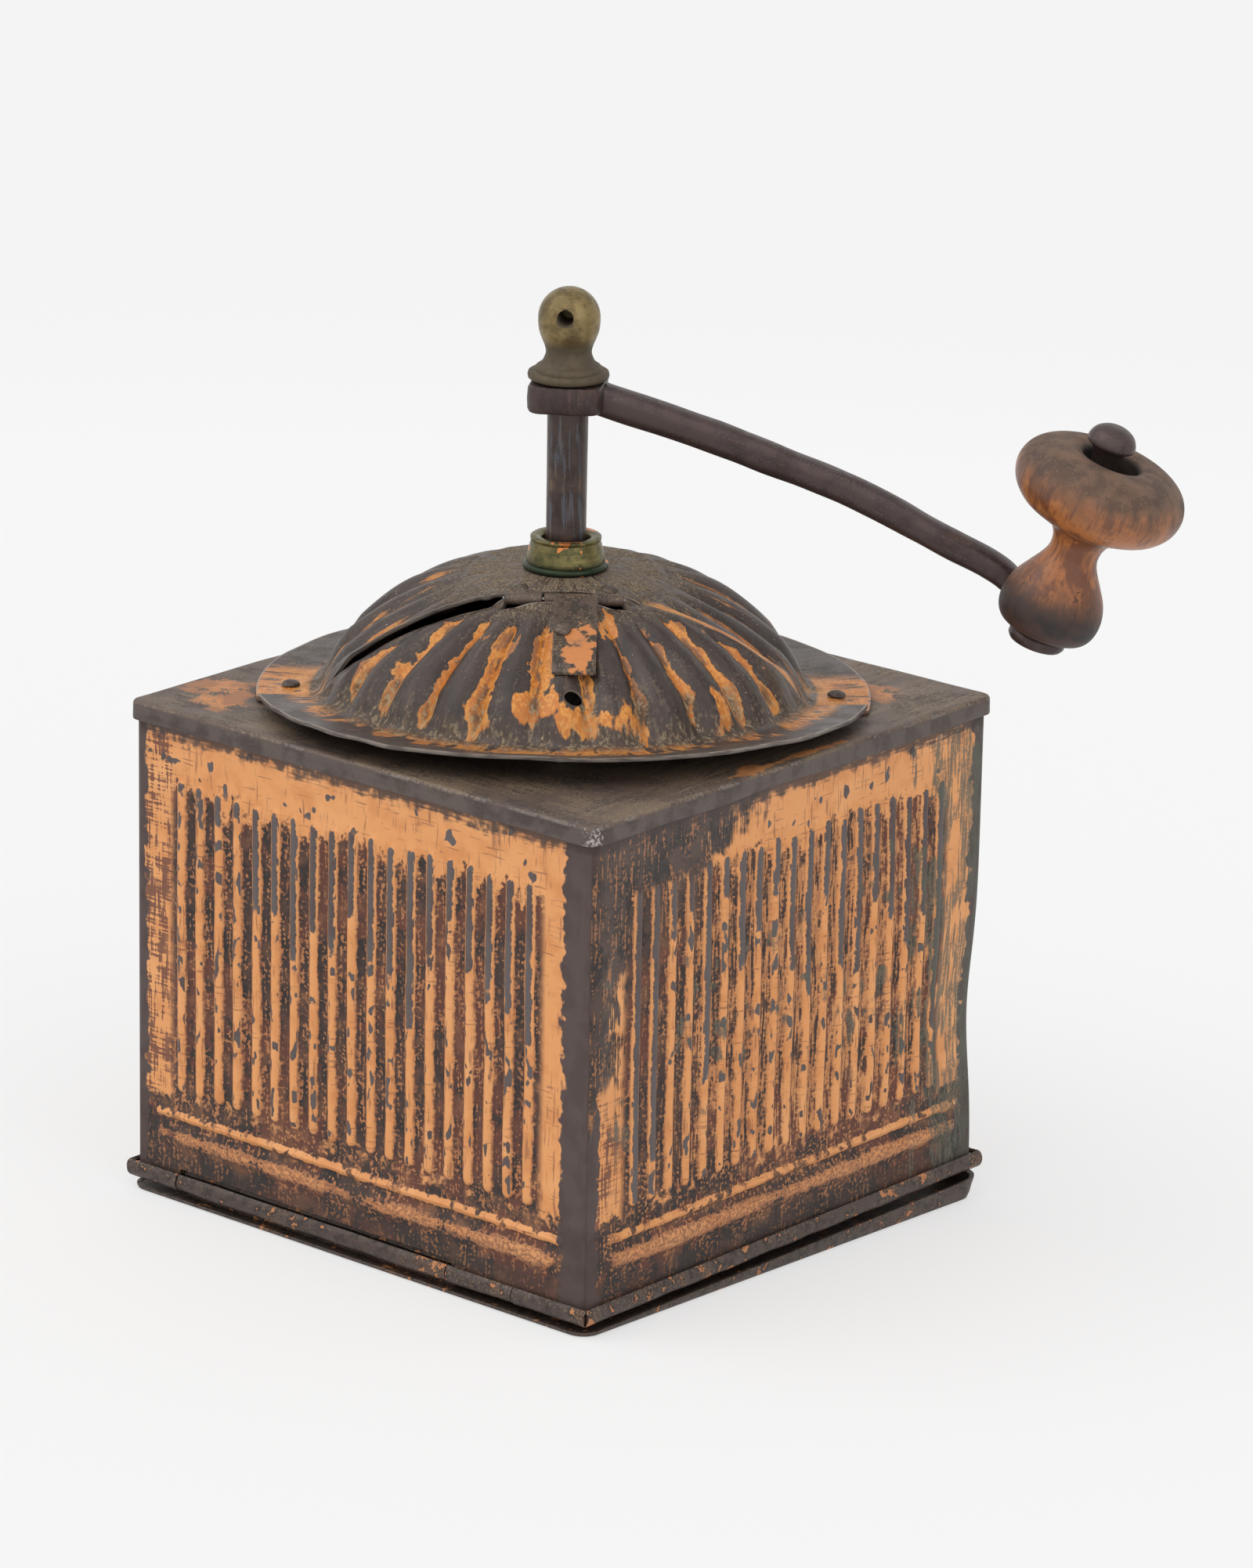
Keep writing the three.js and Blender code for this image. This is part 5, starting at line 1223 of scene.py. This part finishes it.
def boss():
    """The boss under the nut: a rounded square whose edges are softened, bored for the spindle."""
    starts, ways = square_path(BOSS_HALF, BOSS_CORNER, straight=10, bend=7)
    rows = np.array([[-3.0, 0], [-0.9, 0.0], [-0.3, 0.2], [0, 0.8], [0.1, 2.8], [0, 4.8], [-0.3, 5.4],
                     [-0.9, 5.6], [-3.0, 5.6]])
    plan = starts + ways * (BOSS_CORNER + rows[:, 0])[:, None, None]
    angle = np.arctan2(plan[0, :, 1], plan[0, :, 0])
    bore = BOSS_BORE * np.stack([np.cos(angle), np.sin(angle)], -1)
    plan = np.concatenate([bore[None], plan, bore[None]])
    z = BOSS_FOOT + np.concatenate([[0], rows[:, 1], [BOSS_THICK]])
    shape = np.concatenate([plan, z[:, None, None] + 0 * plan[..., :1]], -1)
    spun = about_z(shape[..., 0], shape[..., 1], shape[..., 2], ARM_WAY)
    return spun + 0.1 * ripple(spun, 5, 152)[..., None] * np.array([1, 1, 0.6])


half_eye = EYE_THICK / 2
eye = turned([[0, -half_eye], [4.4, -half_eye], [5.2, 0.25 - half_eye], [EYE_RADIUS, 0.9 - half_eye],
              [EYE_RADIUS, half_eye - 0.9], [5.2, half_eye - 0.25], [4.4, half_eye], [0, half_eye]], 64)
bar, bar_place = arm_bar()
arm = Piece("crank_arm_forging")
arm.add(boss(), along=True).add(bar, capped=True, place=bar_place).add(eye, onto_pin)
arm.done("crank", ["crank_arm"], "dark_iron", iron)

# %% The knob's pin
PIN, REACH = 2.6, 41.0
pin = turned(np.vstack([
    [[0, 1.0 - half_eye], [PIN, 1.0 - half_eye], [PIN, REACH - 3.4], [2.8, REACH - 2], [3.4, REACH - 0.6]],
    curve_through([[3.6, REACH - 0.3], [4.5, REACH], [4.75, REACH + 0.7], [4.55, REACH + 1.6],
                   [3.9, REACH + 2.7], [2.6, REACH + 3.6], [1.2, REACH + 4.0], [0, REACH + 4.05]], 4)]), 56)
Piece("knob_pin_head").add(pin, onto_pin).done("crank", ["knob_pin"], "dark_iron", iron)

# %% [markdown]
# ## The ball nut
# The nut is turned in one piece: a flange with a bright edge, a cone, a neck and a ball with a hole in it
# for a tommy bar. The photograph doesn't show where the hole ends, so it is made blind. The profile is
# turned, and the hole is cut with a Boolean modifier, which is the short way to a clean round edge on a
# ball.

# %% The ball nut
NUT_FOOT, BALL, BALL_Z = 165.9, 6.05, 177.95
TOMMY, TOMMY_RISE, TOMMY_PAST, TOMMY_WAY = 1.6, 1.0, 1.8, math.radians(-57)
NUT_NECK = [[5.1, 3.4], [4.65, 4.4], [4.45, 5.4], [4.75, 6.7], [5.3, 8.0], [5.85, 9.6], [BALL, 11.2]]


def make_nut():
    flange = [[3.3, 0], [7.5, 0], [7.85, 0.25], [7.95, 0.8], [7.8, 1.4], [7.3, 1.7], [6.6, 1.75], [6.5, 2.1],
              [6.3, 2.5], [5.7, 2.9]]
    t = np.linspace(0.05, 1, 14)[:, None] * np.pi / 2
    ball = np.hstack([BALL * np.cos(t), BALL_Z - NUT_FOOT + BALL * np.sin(t)])
    ball[-1, 0] = 0
    inside = [[0, 7.8], [3.3, 7.7]]
    profile = np.vstack([inside, flange, curve_through(NUT_NECK, 4), ball]) + [0, NUT_FOOT]
    shape = turned(profile, 96)
    nut = Piece("ball_nut_turning").add(shape, level=shape[..., 2] - NUT_FOOT)
    thing = nut.done("crank", ["ball_nut"], "brass", brass_finish(
        "old_brass", 161, (132, 114, 78), (104, 90, 60), 6.2, 8.6, False), math.radians(45))
    hole = turned([[0, -TOMMY_PAST], [TOMMY, -TOMMY_PAST], [TOMMY, 2 * BALL], [0, 2 * BALL]], 40)
    hole = about_z(hole[..., 2], hole[..., 0], hole[..., 1] + BALL_Z + TOMMY_RISE, TOMMY_WAY)
    cut_hole(thing, hole, leaned, level=0.0)


make_nut()

# %% [markdown]
# ## The wooden knob
# The knob is turned from a pale hardwood and has a flared foot, a waist, and a wide disc that the palm
# rests on. Hands have rubbed its waist warm and left its top grey. The pin's head sits in a socket, which
# is part of the turned profile. The grain runs along the axis, so the wood's noise is stretched along the
# height, and the same noise leaves dark cracks where it crosses one value.

# %% The knob
KNOB_OFFSET, SLACK, KNOB_FOOT = 0.2, math.radians(1.6), 1.8
KNOB_BORE, SOCKET, SOCKET_DEPTH = 4.0, 5.65, 5.0
KNOB_PROFILE = [
    [6.4, 0.0], [8.1, 0.25], [9.3, 1.4], [10.0, 3.4], [10.0, 6.0], [9.15, 8.8], [7.5, 11.6], [6.1, 13.8],
    [5.1, 15.8], [4.85, 17.6], [5.3, 19.6], [6.8, 21.5], [9.9, 22.9], [13.4, 24.6], [15.7, 26.9],
    [16.7, 29.3], [16.7, 31.6], [15.7, 33.9], [13.8, 35.6], [11.0, 36.8], [8.3, 37.1], [6.4, 36.8]]


def wood_finish():
    f = Finish("turned_wood")
    place = f.own("place", "Vector")
    _, _, height = f.parts(place)
    grain, wide, pores, patch, cloud = f.noises(
        place, 171, (0.7, 4, (1, 1, 20)), (3.2, 3, (1, 1, 12)), (0.3, 1, (1, 1, 9)), (4, 3), (11, 2))
    figure = (wide + 0.5 * grain + 0.5 * cloud).past(-0.12, 0.14)
    f.colour = f.over(paint(168, 104, 56), paint(112, 64, 36), figure)
    f.lay(paint(112, 66, 42), (grain + 0.3 * wide).past(0.02, 0.2) * 0.6)
    f.lay(paint(84, 52, 38), pores.past(0.16, 0.24) * 0.4)
    top = (height + 3 * patch + 3 * wide).past(29.5, 34.5)
    f.lay(paint(84, 58, 46), height.within(28.5, 32.5, 2.5) * (patch + 0.1).past(-0.1, 0.1) * 0.6)
    worn = f.over(paint(98, 78, 64), paint(72, 58, 50), (patch + 0.5 * grain).past(-0.1, 0.1))
    f.lay(f.over(worn, DUST, grain.past(0.06, 0.14) * 0.3), top * 0.9)
    foot = (height + 7 * patch + 7 * wide).past(14.0, 5.0)
    f.lay(f.over(paint(54, 35, 27), paint(32, 23, 20), patch.past(-0.12, 0.12)), foot)
    f.lay(paint(66, 46, 40), (height + 2 * patch).past(3.4, 1.6) * 0.8)
    under = height.within(20.5, 24.5, 1.6) * (patch + 0.1).past(0.0, 0.16)
    f.lay(paint(104, 66, 46), under * 0.6)
    crack = abs(wide).past(0.008, 0.002) * (patch + 0.3 * cloud).past(0.06, 0.1) * height.past(16, 13)
    f.lay(paint(46, 31, 26), crack)
    f.lay(paint(40, 28, 24), f.own("bore") * 0.9)
    rough = 0.38 + 0.3 * top + 0.14 * foot + 0.2 * patch
    return f.set(rough, grain * 0.5 + pores * 0.2 - crack * 0.8, 0.1)


def make_knob():
    curve = curve_through(KNOB_PROFILE, 4)
    top = KNOB_PROFILE[-1][1]
    inside = [[SOCKET + 0.15, top - 0.5], [SOCKET, top - 1], [SOCKET, top - SOCKET_DEPTH],
              [KNOB_BORE, top - SOCKET_DEPTH - 0.2], [KNOB_BORE, 0.3], [KNOB_BORE + 0.3, 0]]
    shape = out_of_round(turned(np.vstack([curve, inside]), 112), 0.006, 14, 175)
    bore = np.arange(len(shape))[:, None] >= len(curve)
    raised = shape + [0, 0, KNOB_FOOT]
    c, s = math.cos(SLACK), math.sin(SLACK)
    slack = np.stack([raised[..., 0] * c + raised[..., 2] * s, raised[..., 1],
                      raised[..., 2] * c - raised[..., 0] * s], -1) + [KNOB_OFFSET, 0, 0]
    return Piece("wood_knob_turning").add(slack, onto_pin, along=True, place=shape, bore=bore)


make_knob().done("knob", ["wood_knob"], "turned_wood", wood_finish(), math.radians(50))

# %% [markdown]
# ## The working parts inside
# The burrs, their housing, the bridges and the screws are seen only when the lid or the door is open. Their
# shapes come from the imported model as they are, and each gets a finish of its own: grey cast iron with oily
# coffee dust, dark forged iron, plain steel, and dull brass.

# %% Finishes of the working parts


def works_finish(name, seed, tone, dust, metal, rough):
    f = Finish(name)
    place = f.millimetres()
    cloud, patch, fine = f.noises(place, seed, (6, 3), (1.5, 4), (0.35, 2))
    f.colour = f.over(paint(*tone), paint(*tone, 0.7), patch.past(-0.1, 0.14))
    f.lay(paint(92, 64, 46), (cloud + 0.5 * patch).past(0.0, 0.14) * dust)
    f.lay(paint(58, 42, 32), (fine + 0.3 * cloud).past(0.1, 0.2) * dust)
    return f.set(rough + 0.25 * patch, patch * 0.6 + fine * 0.4, 0.15, metal)


cast_iron = works_finish("cast_iron", 181, (84, 82, 80), 0.7, 0.35, 0.7)
works_iron = works_finish("works_iron", 184, (78, 66, 62), 0.45, 0.55, 0.5)
works_steel = works_finish("works_steel", 187, (138, 132, 126), 0.35, 0.85, 0.4)
works_brass = works_finish("works_brass", 190, (142, 120, 74), 0.4, 0.85, 0.4)
KEPT = {
    "burr_housing": cast_iron, "inner_burr": cast_iron,
    "upper_bridge": works_iron, "lower_bridge": works_iron,
    "adjusting_screw": works_brass, "adjuster_locknut": works_steel, "burr_pin": works_steel,
    "bridge_screw_left": works_steel, "bridge_screw_right": works_steel, "hinge_pin": works_steel,
    "rim_wire": works_steel}
KEPT.update({f"housing_{kind}_{k}": works_steel for kind in ("screw", "nut") for k in range(1, 5)})
for node, finish in KEPT.items():
    for slot in frame["nodes"][node].material_slots:
        slot.material = finish
shown = sorted(n for n, o in frame["nodes"].items() if not o.hide_render)
print("kept as packed:", len(shown), "missing a finish:", set(shown) - set(KEPT))

# %% [markdown]
# ## The studio
# The photograph has a pale backdrop and soft light. The floor's colour and the lamps are set so that the
# floor renders as that pale grey, and a wide sun from the upper left gives the soft shadow to the right.
# Where the camera, a mirror or glass sees the floor, it is mixed with its own colour as light, and it keeps
# the shadow.

# %% Floor, world and lamps
PALE, FLOOR, SHOWN = 0.905, 0.93, 0.62
FLOOR_HALF, SKY = 14.0, 0.66


def seen(f):
    """1 for the rays that show a background: those of the camera, of mirrors and of glass."""
    path = [f.add("ShaderNodeLightPath", output=name) for name in (
        "Is Camera Ray", "Is Glossy Ray", "Is Transmission Ray")]
    return path[0] | path[1] | path[2]


def make_floor():
    """The floor: plain paper that keeps the object's shadow, mixed with its own colour as light."""
    f = Finish("studio_floor")
    x, y, _ = f.parts(f.millimetres())
    far = (x * x + y * y).root().past(300, 900)
    f.colour = (FLOOR,) * 3
    f.set(1.0, **{"Specular IOR Level": 0.0})
    glow = f.add("ShaderNodeEmission", sockets={"Color": (PALE,) * 3, "Strength": 1.0})
    lit = Wire(f, f.shader.outputs[0])
    mixed = f.add("ShaderNodeMixShader", sockets={0: far | seen(f) * SHOWN, 1: lit, 2: glow})
    f.plug(next(n for n in f.tree.nodes if n.type == "OUTPUT_MATERIAL").inputs["Surface"], mixed)
    mesh = bpy.data.meshes.new("studio_floor")
    corners = [(x * FLOOR_HALF, y * FLOOR_HALF, 0) for x, y in ((-1, -1), (1, -1), (1, 1), (-1, 1))]
    mesh.from_pydata(corners, [], [(0, 1, 2, 3)])
    mesh.materials.append(f.material)
    in_scene("studio_floor", mesh)


def make_world(strength):
    """The world lights everything evenly, and where it is seen it has the floor's own pale grey."""
    f = Finish("studio", "worlds")
    bpy.context.scene.world = f.material
    f.plug(f.shader.inputs["Color"], (1.0, 1.0, 1.0))
    glow = f.add("ShaderNodeMix", {"data_type": "FLOAT"}, {0: seen(f), 2: strength, 3: PALE})
    f.plug(f.shader.inputs["Strength"], glow)


def add_sun(name, strength, angle, towards):
    lamp = bpy.data.lights.new(name, "SUN")
    lamp.energy, lamp.angle = strength, math.radians(angle)
    in_scene(name, lamp).rotation_euler = Vector(towards).to_track_quat("-Z", "Y").to_euler()


make_floor()
make_world(SKY)
add_sun("key_light", 1.0, 60, (0.45, 0.7, -1.15))
add_sun("fill_light", 0.75, 80, (-0.9, 0.5, -0.6))
print("lamps:", sorted(lamp.name for lamp in bpy.data.lights))

# %% [markdown]
# ## The camera
# The camera was found by matching the box's corners and the dome in the photograph: it looks down by
# sixteen degrees, from forty degrees to the right of the front wall, with a long lens and a small roll.

# %% The camera
CAMERA_PLACE = Vector((0.877956, -1.026865, 0.470840))
AZIMUTH, ELEVATION, ROLL = math.radians(40.0677), math.radians(15.9202), math.radians(2.3689)
PHOTO_HEIGHT, FOCAL_PIXELS, SENSOR = 2002, 9100.23, 36.0

back = Vector((
    math.sin(AZIMUTH) * math.cos(ELEVATION), -math.cos(AZIMUTH) * math.cos(ELEVATION), math.sin(ELEVATION)))
level = Vector((math.cos(AZIMUTH), math.sin(AZIMUTH), 0))
above = back.cross(level)
right = level * math.cos(ROLL) + above * math.sin(ROLL)
upward = above * math.cos(ROLL) - level * math.sin(ROLL)
lens = bpy.data.cameras.new("camera")
lens.sensor_width = SENSOR
lens.lens = FOCAL_PIXELS * SENSOR / PHOTO_HEIGHT
camera = in_scene("camera", lens)
camera.matrix_world = Matrix.Translation(CAMERA_PLACE) @ Matrix((right, upward, back)).transposed().to_4x4()
bpy.context.scene.camera = camera
bpy.context.scene.view_settings.view_transform = "Standard"
print(f"lens {lens.lens:.2f} mm")
